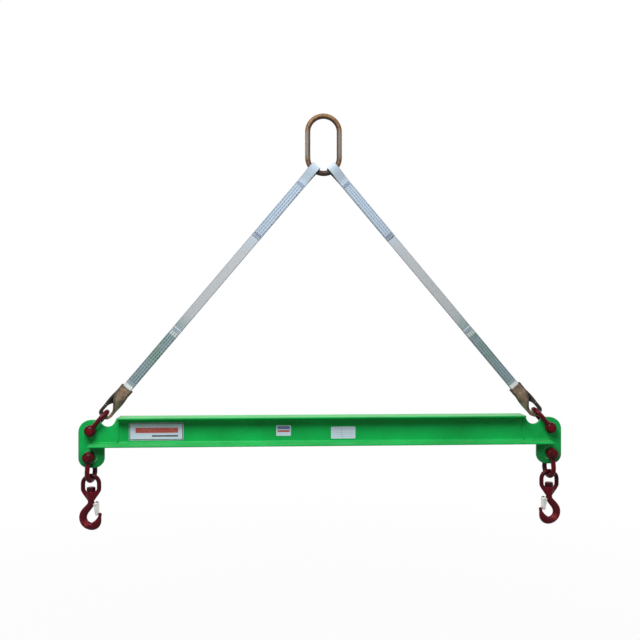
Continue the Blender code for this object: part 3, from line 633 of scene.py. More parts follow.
BOLT_DARK = (52, 2, 8)
BOLT_RUBBED = (190, 60, 66)
BOLT_SHADED_RIM = (7 * MM, 10.5 * MM)
ZINC_LIGHT = (214, 213, 207)
ZINC_DARK = (168, 167, 162)


def dipped_enamel(name, base, deep, rubbed, darkened=None, painted_highlight=None):
    """Thick enamel over a forging: it pools dark in hollows, painted deeper there as shade too, and is
    rubbed pale on the proud edges.

    Where given, the two functions tell from a place how far it is painted darker and how far it takes a
    painted highlight besides.
    """
    material, shader, place = new_finish(name, ior=1.2)
    proud = place.node("NewGeometry", None, None, "Pointiness")
    patch = place.noise(160, 4, 0.6)
    grain = place.noise(700, 3, 0.6)
    # Low pointiness paints the hollows deeper: pooled enamel, and painted shade too.
    full = (patch * 0.5 + proud.step(0.44, 0.52) * 0.5).step(0.3, 0.75)
    coat = full.between(deep, base)
    if darkened:
        coat = darkened(place).between(coat, deep)
    # Pale wear on the proud edges, joined where given by a painted highlight in the same colour.
    wear_and_painted_light = proud.step(0.53, 0.60) * grain.step(0.42, 0.62) * 0.6
    if painted_highlight:
        wear_and_painted_light = wear_and_painted_light.larger(painted_highlight(place) * patch.step(0.35, 0.6))
    wear_and_painted_light.between(coat, rubbed).into(shader, "Base Color")
    (0.20 + patch * 0.16 + wear_and_painted_light * 0.2).into(shader, "Roughness")
    (patch + grain * 0.5).raised(0.22 * MM, 0.6).into(shader, "Normal")
    return material


def shaded_rim(place):
    """A bolt's head takes a painted shade towards its rim."""
    from_axis = place.node("Attribute", {"attribute_name": "from_axis"}, None, "Fac")
    return from_axis.step(*BOLT_SHADED_RIM)


def zinc_plate():
    """Bright zinc, cloudy and a little rough."""
    material, shader, place = new_finish("zinc_plated", metallic=0.9)
    tone = place.noise(900, 3, 0.6) * 0.4 + place.noise(110, 3) * 0.6
    tone.step(0.3, 0.65).between(ZINC_DARK, ZINC_LIGHT).into(shader, "Base Color")
    (0.28 + tone * 0.2).into(shader, "Roughness")
    place.noise(900, 2).raised(0.04 * MM, 0.4).into(shader, "Normal")
    return material


def standing(points):
    """Line of (x, z) points stood up in the plane of the beam."""
    return [Vector((x, 0, z)) for x, z in points]


def ways(points, closed=False):
    """Direction of travel at each point of a line."""
    last = len(points) - 1
    result = []
    for i in range(len(points)):
        ahead = points[(i + 1) % len(points)] if closed or i < last else points[i]
        behind = points[i - 1] if closed or i > 0 else points[i]
        result.append((ahead - behind).normalized())
    return result


def bent_bar(points, radius, across, closed=False, sides=BAR_SIDES):
    """Round bar along a centre line that lies about square to across."""
    places = zip(points, ways(points, closed))
    return ring_solid([bar_ring(p, way, across, radius, radius, sides) for p, way in places], closed)


def forged(shapes, cutters):
    """Shapes run together as in a forging die, their corners softened, then cut by machining tools."""
    steps = [("REMESH", {"mode": "VOXEL", "voxel_size": FORGING_GRAIN}),
             ("SMOOTH", {"iterations": FORGING_PASSES})]
    return worked(joined(shapes), *steps, *[cut(tool) for tool in cutters])


def shackle_bow():
    """Bow over a bolt that lies along Y through the origin, its crown up Z."""
    stock = SHACKLE_STOCK / 2
    ear_y = SHACKLE_JAW / 2 + stock
    crown = SHACKLE_INSIDE + BOLT / 2 + stock
    bow = SHACKLE_BOW / 2 + stock
    centre = crown - bow
    reach = sqrt(ear_y ** 2 + centre ** 2)
    touch = atan2(-centre, ear_y) + atan2(sqrt(reach ** 2 - bow ** 2), bow)
    arch = [Vector((0, a, b)) for a, b in arc(0, centre, bow, touch, pi - touch)]
    line = [Vector((0, ear_y, 0)), *arch, Vector((0, -ear_y, 0))]
    shapes = [bent_bar(line, stock, Vector((1, 0, 0)))]
    rim = SHACKLE_EAR / 2
    bore = BOLT / 2 + BORE_CLEARANCE
    far = SHACKLE_BOW
    cutters = [turned([(bore, -far), (bore, far)])]
    for side in (1, -1):
        inner = side * SHACKLE_JAW / 2
        outer = side * (SHACKLE_JAW / 2 + SHACKLE_STOCK)
        soft = [(rim - EAR_ROUND + EAR_ROUND * sin(t), outer - side * EAR_ROUND * (1 - cos(t)))
                for t in (0, pi / 6, pi / 3, pi / 2)]
        shapes.append(turned([*soft, (rim, inner)]))
        cutters.append(turned([(rim, outer), (rim, side * far)]))
    return forged(shapes, cutters)


def shackle_bolt():
    """Bolt along Y, its domed head in front and its tail grooved as a thread."""
    radius = BOLT / 2
    back = SHACKLE_JAW / 2 + SHACKLE_STOCK + FIT
    head = BOLT_HEAD / 2
    face = -back - BOLT_HEAD_THICK
    tail = back + NUT_THICK + BOLT_TAIL
    profile = [(head * share, face + BOLT_HEAD_DOME * share ** 3) for share in DOME_SHARES]
    profile += [(head, -back - BOLT_HEAD_CHAMFER), (head - BOLT_HEAD_CHAMFER, -back)]
    profile += [(radius, -back), (radius, back)]
    for i in range(int((tail - back) / THREAD_PITCH)):
        for share, depth in THREAD_FORM:
            profile.append((radius - depth, back + THREAD_PITCH * (i + share)))
    profile.append((radius - THREAD_DEPTH, tail))
    mesh = turned(profile)
    distances = [sqrt(vertex.co.x ** 2 + vertex.co.z ** 2) for vertex in mesh.vertices]
    mesh.attributes.new("from_axis", "FLOAT", "POINT").data.foreach_set("value", distances)
    return mesh


def hexagon_nut(flats, thick, bore):
    """Nut along Y from y = 0, its corners turned off at both ends and its bore open."""
    angles = once_round(NUT_SIDES)
    reach = [flats / 2 / cos((a % (pi / 3)) - pi / 6) for a in angles]
    rings = []
    for share in NUT_LEVELS:
        y = thick * share
        limit = flats / 2 * NUT_FACE_SHARE + min(y, thick - y) / NUT_SLOPE
        radii = [min(r, limit) for r in reach]
        rings.append([Vector((r * cos(a), y, r * sin(a))) for r, a in zip(radii, angles)])
    drill = turned([(bore / 2, -thick), (bore / 2, 2 * thick)])
    return worked(ring_solid(rings), cut(drill))


def split_pin():
    """One wire bent round an eye, its two legs side by side through the bolt and spread below it."""
    wire = COTTER_WIRE / 2
    leg = wire + COTTER_GAP / 2
    eye = COTTER_EYE / 2 - wire
    neck = sqrt(eye ** 2 - leg ** 2)
    top = BOLT / 2 + wire + FIT
    foot = -BOLT / 2 - FIT - wire
    start = atan2(-neck, leg)
    loop = arc(0, top + neck, eye, start, pi - start)
    right = [(leg + COTTER_SPLAY, foot - COTTER_TAIL),
             (leg + wire, foot),
             (leg, foot + 2 * wire),
             (leg, top - wire)]
    line = right + loop + [(-a, b) for a, b in reversed(right)]
    return bent_bar(standing(line), wire, FORE_AFT, sides=COTTER_SIDES)


joints = {joint["name"]: joint for joint in frame["joints"]}
link_low, link_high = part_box("master_link")


def joint_place(name):
    """A point on a joint's axis at rest."""
    return Vector(joints[name]["pos_m"])


def frame_at(origin, y_way, z_way):
    """Placing matrix from an origin and two square directions."""
    x_way = y_way.cross(z_way)
    turn = Matrix((x_way, y_way, z_way)).transposed()
    return Matrix.Translation(origin) @ turn.to_4x4()


def placed(mesh, matrix):
    """Copy of a mesh moved to its place on the part."""
    copy = mesh.copy()
    copy.transform(matrix)
    return copy


red_enamel = dipped_enamel("red_enamel", ENAMEL_RED, ENAMEL_DARK, ENAMEL_RUBBED_AND_HIGHLIGHT)
bolt_enamels = {}
# The lower bolts hang below the bottom flange and take a darker red, a painted shade.
for level, red in (("upper", BOLT_RED), ("lower", BOLT_SHADED_RED)):
    bolt_enamels[level] = dipped_enamel(level + "_bolt_enamel", red, BOLT_DARK, BOLT_RUBBED, shaded_rim)
zinc = zinc_plate()

gather = Vector((0, 0, link_low.z + LINK_STOCK + LINK_INSIDE_WIDTH / 2))
nut_seat = Matrix.Translation((0, SHACKLE_JAW / 2 + SHACKLE_STOCK + FIT, 0))
pin_seat = nut_seat @ Matrix.Translation((0, NUT_THICK + BOLT_TAIL / 2, 0))
bow_shape = shackle_bow()
bolt_shape = shackle_bolt()
nut_shape = placed(hexagon_nut(NUT_FLATS, NUT_THICK, BOLT + 2 * BORE_CLEARANCE), nut_seat)
pin_shape = placed(split_pin(), pin_seat)
leg_ways = {}

for word in SIDES:
    leg_ways[word] = (gather - joint_place("upper_shackle_turn_" + word)).normalized()
    for level, motion, bow_way in (("upper", "_turn_", leg_ways[word]),
                                   ("lower", "_swing_", Vector((0, 0, -1)))):
        joint = level + "_shackle" + motion + word
        body = level + "_shackle_" + word
        bolt_way = Vector(joints[joint]["axis"]).normalized()
        seat = frame_at(joint_place(joint), bolt_way, bow_way)
        enamel = bolt_enamels[level]
        for name, shape, material, slot, node in (
                ("forged_bow_", bow_shape, red_enamel, "red_paint", "_bow"),
                ("headed_bolt_", bolt_shape, enamel, "bolt_paint", "_bolt"),
                ("hexagon_nut_", nut_shape, enamel, "bolt_paint", "_nut"),
                ("split_pin_", pin_shape, zinc, "zinc_steel", "_cotter")):
            piece(name + level + "_" + word, placed(shape, seat), material, body, slot, body + node)


# A swivel bail hangs in each lower shackle: a forged loop whose two legs close in on a bored boss, in
# which the hook's shank turns. It is dipped in red enamel and is darker above the boss.

BAIL_BAR = 11.5 * MM
BAIL_INSIDE = 30 * MM
BAIL_LENGTH = 34.5 * MM
BAIL_BASE = 27 * MM
BAIL_BASE_FOOT = 17 * MM
BAIL_BASE_DEPTH = 26 * MM
BAIL_BASE_STRAIGHT = 7.8 * MM
BAIL_LEG_POINTS = 16
NUT_WELL_PLAY = 1 * MM
SHANK = 12.7 * MM
SHANK_NUT_FLATS = 20 * MM
SHANK_NUT_THICK = 10 * MM
BAIL_RED = (104, 10, 24)


def pulled(start, start_pull, end, end_pull, count):
    """Points on a smooth curve between two points that leaves and arrives along given pulls."""
    points = []
    for i in range(count + 1):
        t = i / count
        points.append(start * (2 * t ** 3 - 3 * t ** 2 + 1) + start_pull * (t ** 3 - 2 * t ** 2 + t)
                      + end * (3 * t ** 2 - 2 * t ** 3) + end_pull * (t ** 3 - t ** 2))
    return points


def upright(profile):
    """Profile of (radius, z) points turned about the Z axis."""
    mesh = turned([(radius, -z) for radius, z in profile])
    mesh.transform(Matrix.Rotation(-pi / 2, 4, "X"))
    return mesh


def swivel_bail():
    """Bail that hangs from the middle of its crown bar at the origin."""
    bar = BAIL_BAR / 2
    side_x = BAIL_INSIDE / 2 + bar
    seat = -bar - BAIL_LENGTH
    foot = seat - BAIL_BASE_DEPTH
    crown = standing(arc(0, -side_x, side_x, 0, pi))
    shoulder = Vector((side_x, 0, seat + bar))
    root = Vector((BAIL_BASE_FOOT / 3, 0, (seat + 3 * foot) / 4))
    drop = Vector((0, 0, 3 * (seat - shoulder.z)))
    leg = pulled(shoulder, drop, root, root - shoulder, BAIL_LEG_POINTS)
    other = [Vector((-p.x, 0, p.z)) for p in leg]
    hoop = bent_bar([*reversed(leg), *crown, *other], bar, FORE_AFT)
    boss = upright([(BAIL_BASE / 2, seat),
                    (BAIL_BASE / 2, seat - BAIL_BASE_STRAIGHT),
                    (BAIL_BASE_FOOT / 2, foot)])
    bore = SHANK / 2 + BORE_CLEARANCE
    well = SHANK_NUT_FLATS / 2 / cos(pi / 6) + NUT_WELL_PLAY
    nut_top = seat + SHANK_NUT_THICK + FIT
    cutters = [upright([(radius, low), (radius, high)]) for radius, low, high in
               ((bore, 2 * foot, nut_top), (well, seat, nut_top), (BAIL_BASE, foot, 2 * foot))]
    return forged([hoop, boss], cutters)


def darker_legs(place):
    """The loop is painted darker above its boss."""
    boss_top = joint_place("hook_swivel_left").z + BAIL_BASE_DEPTH
    return place.parts()[2].step(boss_top - BAIL_BASE_STRAIGHT, boss_top + BAIL_BASE_STRAIGHT) * 0.7


bail_shape = swivel_bail()
bail_enamel = dipped_enamel("bail_enamel", BAIL_RED, ENAMEL_DARK, ENAMEL_RUBBED_AND_HIGHLIGHT, darker_legs)
for word in SIDES:
    seat = Matrix.Translation(joint_place("bail_rock_" + word))
    piece("forged_bail_" + word, placed(bail_shape, seat), bail_enamel, "bail_" + word, "red_paint",
          "swivel_bail_" + word)


# Each hook is a drop forging: a thick back and bowl that thin to the tip, a lug for the latch, and a shank
# that turns in the bail and is held by a nut inside it. Its flash is ground off and it is dipped in red.

HOOK_BOWL = 28.5 * MM
HOOK_DROP = 42.5 * MM
HOOK_OFFSET = 3.75 * MM
HOOK_NECK = 17 * MM
HOOK_NECK_LENGTH = 6.8 * MM
HOOK_NECK_POINTS = 14
HOOK_NECK_WAY = Vector((0.4, 0, -0.9))
HOOK_BACK_ANGLE = radians(20)
HOOK_BACK = 20.4 * MM
HOOK_BOTTOM = 19.6 * MM
HOOK_TIP = 9 * MM
HOOK_TIP_HEIGHT = 11 * MM
HOOK_TIP_LEAN = 2.25 * MM
HOOK_TIP_TAPER = ((0.2, 1.0), (0.4, 1.0), (0.6, 0.99), (0.8, 0.95), (0.92, 0.82), (1.0, 0.55))
HOOK_THICK = 17 * MM
HOOK_FULLEST = 1.05
SHANK_CHAMFER = (0.9 * MM, 1.3 * MM)
LATCH_PIN = 4 * MM
LATCH_PIN_REACH = 13.5 * MM
LATCH_PIN_DROP = 8.5 * MM
LATCH_LUG_THICK = 5 * MM
LATCH_LUG_ROUND = 0.99
LATCH_EAR = 12 * MM
LATCH_SHEET = 1.5 * MM
SEAT_GAP = 0.5 * MM
HIGHLIGHT_DROP = 58 * MM
HIGHLIGHT_REACH = 15 * MM
NUT_RED = (58, 10, 18)
NUT_BLACK = (20, 6, 9)
NUT_RUBBED = (110, 50, 56)


def eased(t):
    """0 to 1 with a soft start and end."""
    t = min(1, max(0, t))
    return t * t * (3 - 2 * t)


def hook_line():
    """Centre line of the hook below its neck, with the half width of the section at each point."""
    bowl = HOOK_BOWL / 2
    back = HOOK_BACK / 2
    bottom = HOOK_BOTTOM / 2
    tip = HOOK_TIP / 2
    centre = Vector((-HOOK_OFFSET, 0, -HOOK_DROP))

    def half_at(angle):
        if angle > -pi / 2:
            return back + (bottom - back) * eased(-angle / (pi / 2))
        return bottom + (tip - bottom) * eased((-angle - pi / 2) / (pi / 2)) + fullness(angle) / 2

    def fullness(angle):
        """How far the arm fills the bowl on the tip's side, where the throat runs straight up."""
        if angle > -pi / 2:
            return 0
        return bowl - bowl * cos(pi / 4) / cos(angle + 3 * pi / 4)

    def point_at(angle):
        reach = bowl + half_at(angle) - fullness(angle)
        return centre + Vector((cos(angle), 0, sin(angle))) * reach

    first = HOOK_BACK_ANGLE
    neck = Vector((0, 0, -HOOK_NECK_LENGTH))
    start = point_at(first)
    pull = (start - neck).length
    way_in = Vector((sin(first), 0, -cos(first))) * pull
    line = pulled(neck, HOOK_NECK_WAY * pull, start, way_in, HOOK_NECK_POINTS)
    widening = (back - HOOK_NECK / 2) / HOOK_NECK_POINTS
    halves = [HOOK_NECK / 2 + widening * i for i in range(HOOK_NECK_POINTS + 1)]
    steps = ceil((pi + first) / ARC_STEP)
    for i in range(1, steps + 1):
        angle = first - (pi + first) * i / steps
        line.append(point_at(angle))
        halves.append(half_at(angle))
    last = line[-1]
    for share, slim in HOOK_TIP_TAPER:
        line.append(last + Vector((-HOOK_TIP_LEAN * share ** 2, 0, HOOK_TIP_HEIGHT * share)))
        halves.append(tip * slim)
    return line, halves


def forged_hook():
    """Hook below its bail's boss, the shank up Z from the origin and the mouth towards -X."""
    down = Vector((0, 0, -1))
    line, halves = hook_line()
    neck = HOOK_NECK / 2
    body = []
    for drop in (FIT, HOOK_NECK_LENGTH / 2):
        body.append(bar_ring(down * drop, down, FORE_AFT, neck, neck, BAR_SIDES))
    for point, way, half in zip(line, ways(line), halves):
        thick = min(HOOK_THICK / 2, half * HOOK_FULLEST)
        body.append(bar_ring(point, way, FORE_AFT, half, thick, BAR_SIDES))
    shank = SHANK / 2
    shank_top = BAIL_BASE_DEPTH + SHANK_NUT_THICK + 2 * FIT
    spindle = upright([(shank, -HOOK_NECK_LENGTH),
                       (shank, shank_top - SHANK_CHAMFER[1]),
                       (shank - SHANK_CHAMFER[0], shank_top)])
    eye = LATCH_EAR / 2 - LATCH_SHEET - SEAT_GAP
    lug = rounded([(0, -LATCH_PIN_DROP - eye, 0),
                   (0, -LATCH_PIN_DROP + eye, 0),
                   (-LATCH_PIN_REACH - eye, -LATCH_PIN_DROP + eye, eye * LATCH_LUG_ROUND),
                   (-LATCH_PIN_REACH - eye, -LATCH_PIN_DROP - eye, eye * LATCH_LUG_ROUND)])
    tang = drawn_out(lug, -LATCH_LUG_THICK / 2, LATCH_LUG_THICK / 2, "Y")
    bore = LATCH_PIN / 2 + BORE_CLEARANCE
    drill = turned([(bore, -HOOK_THICK), (bore, HOOK_THICK)])
    drill.transform(Matrix.Translation((-LATCH_PIN_REACH, 0, -LATCH_PIN_DROP)))
    far = 2 * shank_top
    trim = drawn_out([(-far, -FIT), (far, -FIT), (far, far), (-far, far)], -far, far, "Y")
    hook = forged([ring_solid(body), tang], [trim, drill])
    return joined([hook, spindle])


def belly_highlight(place):
    """A painted highlight on the back of the bowl, low on its outer side."""
    swivel = joint_place("hook_swivel_left")
    x, y, z = place.parts()
    from_belly = abs(z - swivel.z + HIGHLIGHT_DROP)
    outward = abs(x) - abs(swivel.x)
    return (1 - from_belly.step(0.0, HIGHLIGHT_REACH)) * outward.step(0.0, HIGHLIGHT_REACH) * 0.9


hook_shape = forged_hook()
hook_enamel = dipped_enamel("hook_enamel", ENAMEL_RED, ENAMEL_DARK, ENAMEL_RUBBED_AND_HIGHLIGHT, painted_highlight=belly_highlight)
shank_nut_shape = hexagon_nut(SHANK_NUT_FLATS, SHANK_NUT_THICK, SHANK + 2 * BORE_CLEARANCE)
shank_nut_seat = Matrix.Translation((0, 0, BAIL_BASE_DEPTH + FIT))
shank_nut_shape.transform(shank_nut_seat @ Matrix.Rotation(pi / 2, 4, "X"))
nut_enamel = dipped_enamel("nut_enamel", NUT_RED, NUT_BLACK, NUT_RUBBED)
faces = {"left": Matrix.Rotation(pi, 4, "Z"), "right": Matrix.Identity(4)}
for word, face in faces.items():
    seat = Matrix.Translation(joint_place("hook_swivel_" + word)) @ face
    body = "hook_" + word
    piece("forged_hook_" + word, placed(hook_shape, seat), hook_enamel, body, "red_paint", body)
    piece("shank_hexagon_" + word, placed(shank_nut_shape, seat), nut_enamel, body, "red_paint",
          "shank_nut_" + word)


# A spring latch closes each hook's mouth: pressed sheet folded to a channel, on a riveted pin through the
# lug. A wire torsion spring beside the lug holds its nose against the tip. All three are zinc plated.

LATCH_NOSE = 6.4 * MM
LATCH_PIN_HEAD = 6.4 * MM
LATCH_PIN_HEAD_THICK = 1.2 * MM
RIVET_WALL = 0.5 * MM
RIVET_DEPTH = 3 * MM
RIVET_ROUND = 0.2 * MM
RIVET_LIP = 0.3 * MM
RIVET_DOME = 0.9
RIVET_FLOOR = 0.9
RIVET_SHOULDER = 0.8
RIVET_SIDES = 32
LATCH_SPRING_WIRE = 1 * MM
LATCH_SPRING_TURNS = 2.5
LATCH_SPRING_PITCH = 1.5 * MM
SPRING_POINTS = 28
SPRING_SIDES = 12
LATCH_EDGE = 0.5 * MM
REST_RING = -3
spring_room = LATCH_SPRING_TURNS * LATCH_SPRING_PITCH + LATCH_SPRING_WIRE + 2 * SEAT_GAP
latch_room = LATCH_LUG_THICK / 2 + spring_room


def spring_latch():
    """Latch on its pin at the origin, its nose at rest by the hook's tip."""
    line, halves = hook_line()
    tip = line[REST_RING]
    pin = Vector((-LATCH_PIN_REACH, 0, -LATCH_PIN_DROP))
    nose = LATCH_NOSE / 2
    rest = Vector((tip.x + halves[REST_RING] + SEAT_GAP + nose, 0, tip.z)) - pin
    along = rest.normalized()
    out = Vector((along.z, 0, -along.x))
    ear = LATCH_EAR / 2
    tilt = atan2(along.z, along.x)
    narrowing = (ear - nose) / rest.length
    outline = arc(0, 0, ear, tilt + pi / 2 + narrowing, tilt + 3 * pi / 2 - narrowing)
    outline += arc(rest.x, rest.z, nose, tilt - pi / 2 - narrowing, tilt + pi / 2 + narrowing)
    outer = latch_room + LATCH_SHEET
    sheet = out * -LATCH_SHEET
    reach = along * (rest.length + nose + ear)
    heel = along * (-2 * ear)
    inward = out * (-4 * ear)
    skin = out * (nose - LATCH_SHEET)
    corners = [sheet + heel + out * ear,
               sheet + out * ear,
               skin + reach,
               skin + reach + inward,
               heel + inward]
    hollow = drawn_out([(p.x, p.z) for p in corners], -latch_room, latch_room, "Y")
    bore = LATCH_PIN / 2 + BORE_CLEARANCE
    drill = turned([(bore, -2 * outer), (bore, 2 * outer)])
    return worked(edged(outline, -outer, outer, LATCH_EDGE), cut(hollow), cut(drill))


def latch_rivet():
    """Tubular rivet: a shallow domed head at both ends, open down the middle."""
    outer = latch_room + LATCH_SHEET + FIT
    radius = LATCH_PIN / 2
    head = LATCH_PIN_HEAD / 2
    hollow = radius - RIVET_WALL
    bottom = outer - RIVET_DEPTH
    well = [(RIVET_FLOOR * hollow, bottom), (hollow, bottom + RIVET_ROUND)]
    dome = [(r, outer + LATCH_PIN_HEAD_THICK * sqrt(1 - (r / head * RIVET_DOME) ** 2))
            for r in (hollow, hollow + RIVET_LIP, RIVET_SHOULDER * head, head)]
    far_side = [*well, *dome, (head, outer), (radius, outer)]
    return turned(far_side + [(r, -y) for r, y in reversed(far_side)], RIVET_SIDES)


def torsion_spring():
    """One wire, two and a half turns round the pin and two straight ends."""
    wire = LATCH_SPRING_WIRE / 2
    radius = LATCH_PIN / 2 + BORE_CLEARANCE + wire
    low = LATCH_LUG_THICK / 2 + SEAT_GAP + wire
    count = round(LATCH_SPRING_TURNS * SPRING_POINTS)
    turns = [2 * pi * LATCH_SPRING_TURNS * i / count for i in range(count + 1)]
    rise = LATCH_SPRING_PITCH / (2 * pi)
    line = [Vector((radius * cos(a), low + rise * a, radius * sin(a))) for a in turns]
    drop = Vector((0, 0, 2 * LATCH_SPRING_WIRE))
    points = [line[0] - drop, *line, line[-1] - drop]
    return bent_bar(points, wire, FORE_AFT, sides=SPRING_SIDES)


latch_parts = (("pressed_latch_", spring_latch(), "latch_"),
               ("latch_rivet_", latch_rivet(), "latch_pin_"),
               ("torsion_spring_", torsion_spring(), "latch_spring_"))
for word, face in faces.items():
    seat = Matrix.Translation(joint_place("latch_open_" + word)) @ face
    for name, shape, node in latch_parts:
        piece(name + word, placed(shape, seat), zinc, "latch_" + word, "zinc_steel", node + word)


# Two sling legs carry the beam, each one strip of inch-wide polyester webbing, woven with lengthwise ribs
# and rounded selvages. Its ends are turned back into eyes, flat round the master link and twisted a quarter
# turn to the shackle's bow, and the tails are sewn down with rows of heavy thread.

WEBBING_WIDTH = 25.4 * MM
WEBBING_PLY = 4.2 * MM
TOP_SPLICE_LENGTH = 190 * MM
LOWER_SPLICE_LENGTH = 190 * MM
TOP_EYE_LENGTH = 46 * MM
LOWER_EYE_LENGTH = 96 * MM
LOWER_EYE_WIDTH = 17 * MM
SLEEVE_WALL = 1.2 * MM
SLEEVE_SETBACK = 14 * MM
EYE_PLAY = 4 * MM
PLY_GAP = 0.2 * MM
PLY_STEP = 26 * MM
PLY_STEP_POINTS = 8
TOP_EYE_POINTS = 12
RIB_COUNT = 7
RIB_RISE = 0.07
FACE_POINTS = 29
FACE_SHARE = 0.94
SELVAGE_FORM = [(0.985, 0.7), (1.0, 0.25), (1.0, -0.25), (0.985, -0.7)]
TWIST_STEPS = 30
CLOSE_FROM = 14 * MM
WIDEN = (4 * MM, 34 * MM)
TWIST = (8 * MM, 72 * MM)
WEBBING_RIB = 1.5 * MM
WEBBING_PICK = 1.9 * MM
ZIGZAG_RIBS = 3
ZIGZAG_SHIFT = 1
BRIGHT_FROM = (520 * MM, 660 * MM)
WEBBING_BRIGHT = (174, 189, 202)
WEBBING_GREY = (176, 181, 184)
WEBBING_SOILED = (124, 152, 142)
WEBBING_BLUED = (140, 160, 168)
WEBBING_WHITE = (222, 230, 228)
WEBBING_SHADE = (96, 108, 118)
STRAP_EDGE_SHADE = (10.4 * MM, 12.2 * MM)
SOIL_BELOW = 20 * MM
SOIL_ABOVE = 60 * MM
FRESH_TAIL = 26 * MM
BARE_EDGE = (5 * MM, 2 * MM)

crown_reach = SHACKLE_INSIDE + BOLT / 2 + SHACKLE_STOCK / 2
leg_frames = {}
for word, way in leg_ways.items():
    crown = joint_place("upper_shackle_turn_" + word) + way * crown_reach
    leg_frames[word] = frame_at(crown, FORE_AFT, way)
sling_reach = (gather - leg_frames["right"].translation).length - (LINK_INSIDE_WIDTH + LINK_STOCK) / 2
ply_side = (WEBBING_PLY + PLY_GAP) / 2
lower_tail = LOWER_EYE_LENGTH + LOWER_SPLICE_LENGTH
top_splice = sling_reach - TOP_EYE_LENGTH
top_tail = top_splice - TOP_SPLICE_LENGTH


def gone(value, low, high):
    """How far a value has gone from low to high, easing in and out."""
    return eased((value - low) / (high - low))


def loop_half(half_width, depth, flat):
    """Half of a loop's path from the middle of its far end: flat under the bar, then round a corner."""
    corner = half_width - flat
    return [(0, -depth)] + arc(flat, corner - depth, corner, -pi / 2, 0)


def lower_eye_half():
    """Middle, spin and width of the strip from under the shackle's crown bar up to the splice."""
    wall = SLEEVE_WALL + PLY_GAP
    stock = SHACKLE_STOCK / 2
    inside_bow = SHACKLE_BOW / 2 - SEAT_GAP
    lift = inside_bow - sqrt(inside_bow ** 2 - (LOWER_EYE_WIDTH / 2 + wall) ** 2) + SEAT_GAP
    spread = stock + EYE_PLAY + wall + WEBBING_PLY / 2
    depth = stock + lift + wall + WEBBING_PLY / 2
    beside = WEBBING_PLY / 2 + wall + PLY_GAP
    sleeve_top = LOWER_EYE_LENGTH - SLEEVE_SETBACK
    plan = [(a, b, 0, LOWER_EYE_WIDTH) for a, b in loop_half(spread, depth, EYE_PLAY)]
    start = plan[-1][1]
    for i in range(1, TWIST_STEPS + 1):
        b = start + (sleeve_top - start) * i / TWIST_STEPS
        aside = spread + (beside - spread) * gone(b, CLOSE_FROM, sleeve_top)
        width = LOWER_EYE_WIDTH + (WEBBING_WIDTH - LOWER_EYE_WIDTH) * gone(b, *WIDEN)
        plan.append((aside, b, pi / 2 * gone(b, *TWIST), width))
    plan.append((ply_side, LOWER_EYE_LENGTH, pi / 2, WEBBING_WIDTH))
    stations = []
    for a, b, twist, width in plan:
        spin = Matrix.Rotation(twist, 3, "Z")
        stations.append((spin @ Vector((a, 0, b)), spin, width))
    return stations


def whole_eye(half):
    """Stations of (middle, width direction, width) round the eye, from its front ply to its back ply."""
    about = Matrix.Rotation(pi, 3, "Z")
    back = [(p, spin @ FORE_AFT, width) for p, spin, width in half]
    front = [(about @ p, about @ -wide, width) for p, wide, width in reversed(back[1:])]
    return front + back


def leg_stations():
    """The whole strip of a leg, from the lower tail round both eyes to the top tail."""
    flat = Vector((-1, 0, 0))
    strip = [(Vector((0, -ply_side, lower_tail)), flat, WEBBING_WIDTH)]
    strip += whole_eye(lower_eye_half())
    for tail, from_y, to_y in ((lower_tail, ply_side, 0), (top_tail, 0, ply_side)):
        for i in range(PLY_STEP_POINTS + 1):
            share = i / PLY_STEP_POINTS
            y = from_y + (to_y - from_y) * eased(share)
            strip.append((Vector((0, y, tail + PLY_STEP * (share - 0.5))), flat, WEBBING_WIDTH))
    bar = LINK_STOCK / 2
    inside_link = LINK_INSIDE_WIDTH / 2 - SEAT_GAP
    lift = inside_link - sqrt(inside_link ** 2 - (WEBBING_WIDTH / 2 + PLY_GAP) ** 2) + SEAT_GAP
    spread = bar + EYE_PLAY + WEBBING_PLY / 2
    half = [(a, -b) for a, b in loop_half(spread, bar + lift + WEBBING_PLY / 2, EYE_PLAY)]
    start = half[-1][1]
    for i in range(1, TOP_EYE_POINTS + 1):
        share = i / TOP_EYE_POINTS
        half.append((spread + (ply_side - spread) * eased(share), start - (TOP_EYE_LENGTH + start) * share))
    for a, b in [*reversed(half), *[(-a, b) for a, b in half[1:]]]:
        strip.append((Vector((0, a, sling_reach + b)), flat, WEBBING_WIDTH))
    strip.append((Vector((0, -ply_side, top_tail)), flat, WEBBING_WIDTH))
    return strip


def webbing_section():
    """Closed outline of the strip's section: (share of half width, share of half thickness)."""
    face = []
    for i in range(FACE_POINTS):
        u = FACE_SHARE * (2 * i / (FACE_POINTS - 1) - 1)
        face.append((u, 1 - RIB_RISE * (1 + cos(pi * RIB_COUNT * u))))
    half = face + SELVAGE_FORM
    return half + [(-u, -v) for u, v in half]


def strip_rings(stations, section, thick, grow=0.0):
    """Rings of a section along stations of (middle, width direction, width), grown all round."""
    rings = []
    for (middle, wide, width), way in zip(stations, ways([station[0] for station in stations])):
        wide = (wide - way * wide.dot(way)).normalized()
        across = wide * (width / 2 + grow)
        out = way.cross(wide) * (thick / 2 + grow)
        rings.append([middle + across * u + out * v for u, v in section])
    return rings


def note_strap(mesh, stations, section):
    """Writes on each point its place on the strap: across it, along it, and its height up the leg."""
    notes = []
    along = 0
    for i, (middle, wide, width) in enumerate(stations):
        along += (middle - stations[i - 1][0]).length if i else 0
        for u, v in section:
            notes += (u * width / 2, along, middle.z)
    mesh.attributes.new("strap", "FLOAT_VECTOR", "POINT").data.foreach_set("vector", notes)


def strap_place(place):
    """The place that note_strap wrote, as across, along and up the leg."""
    return place.node("Attribute", {"attribute_name": "strap"}, None, "Vector").parts()


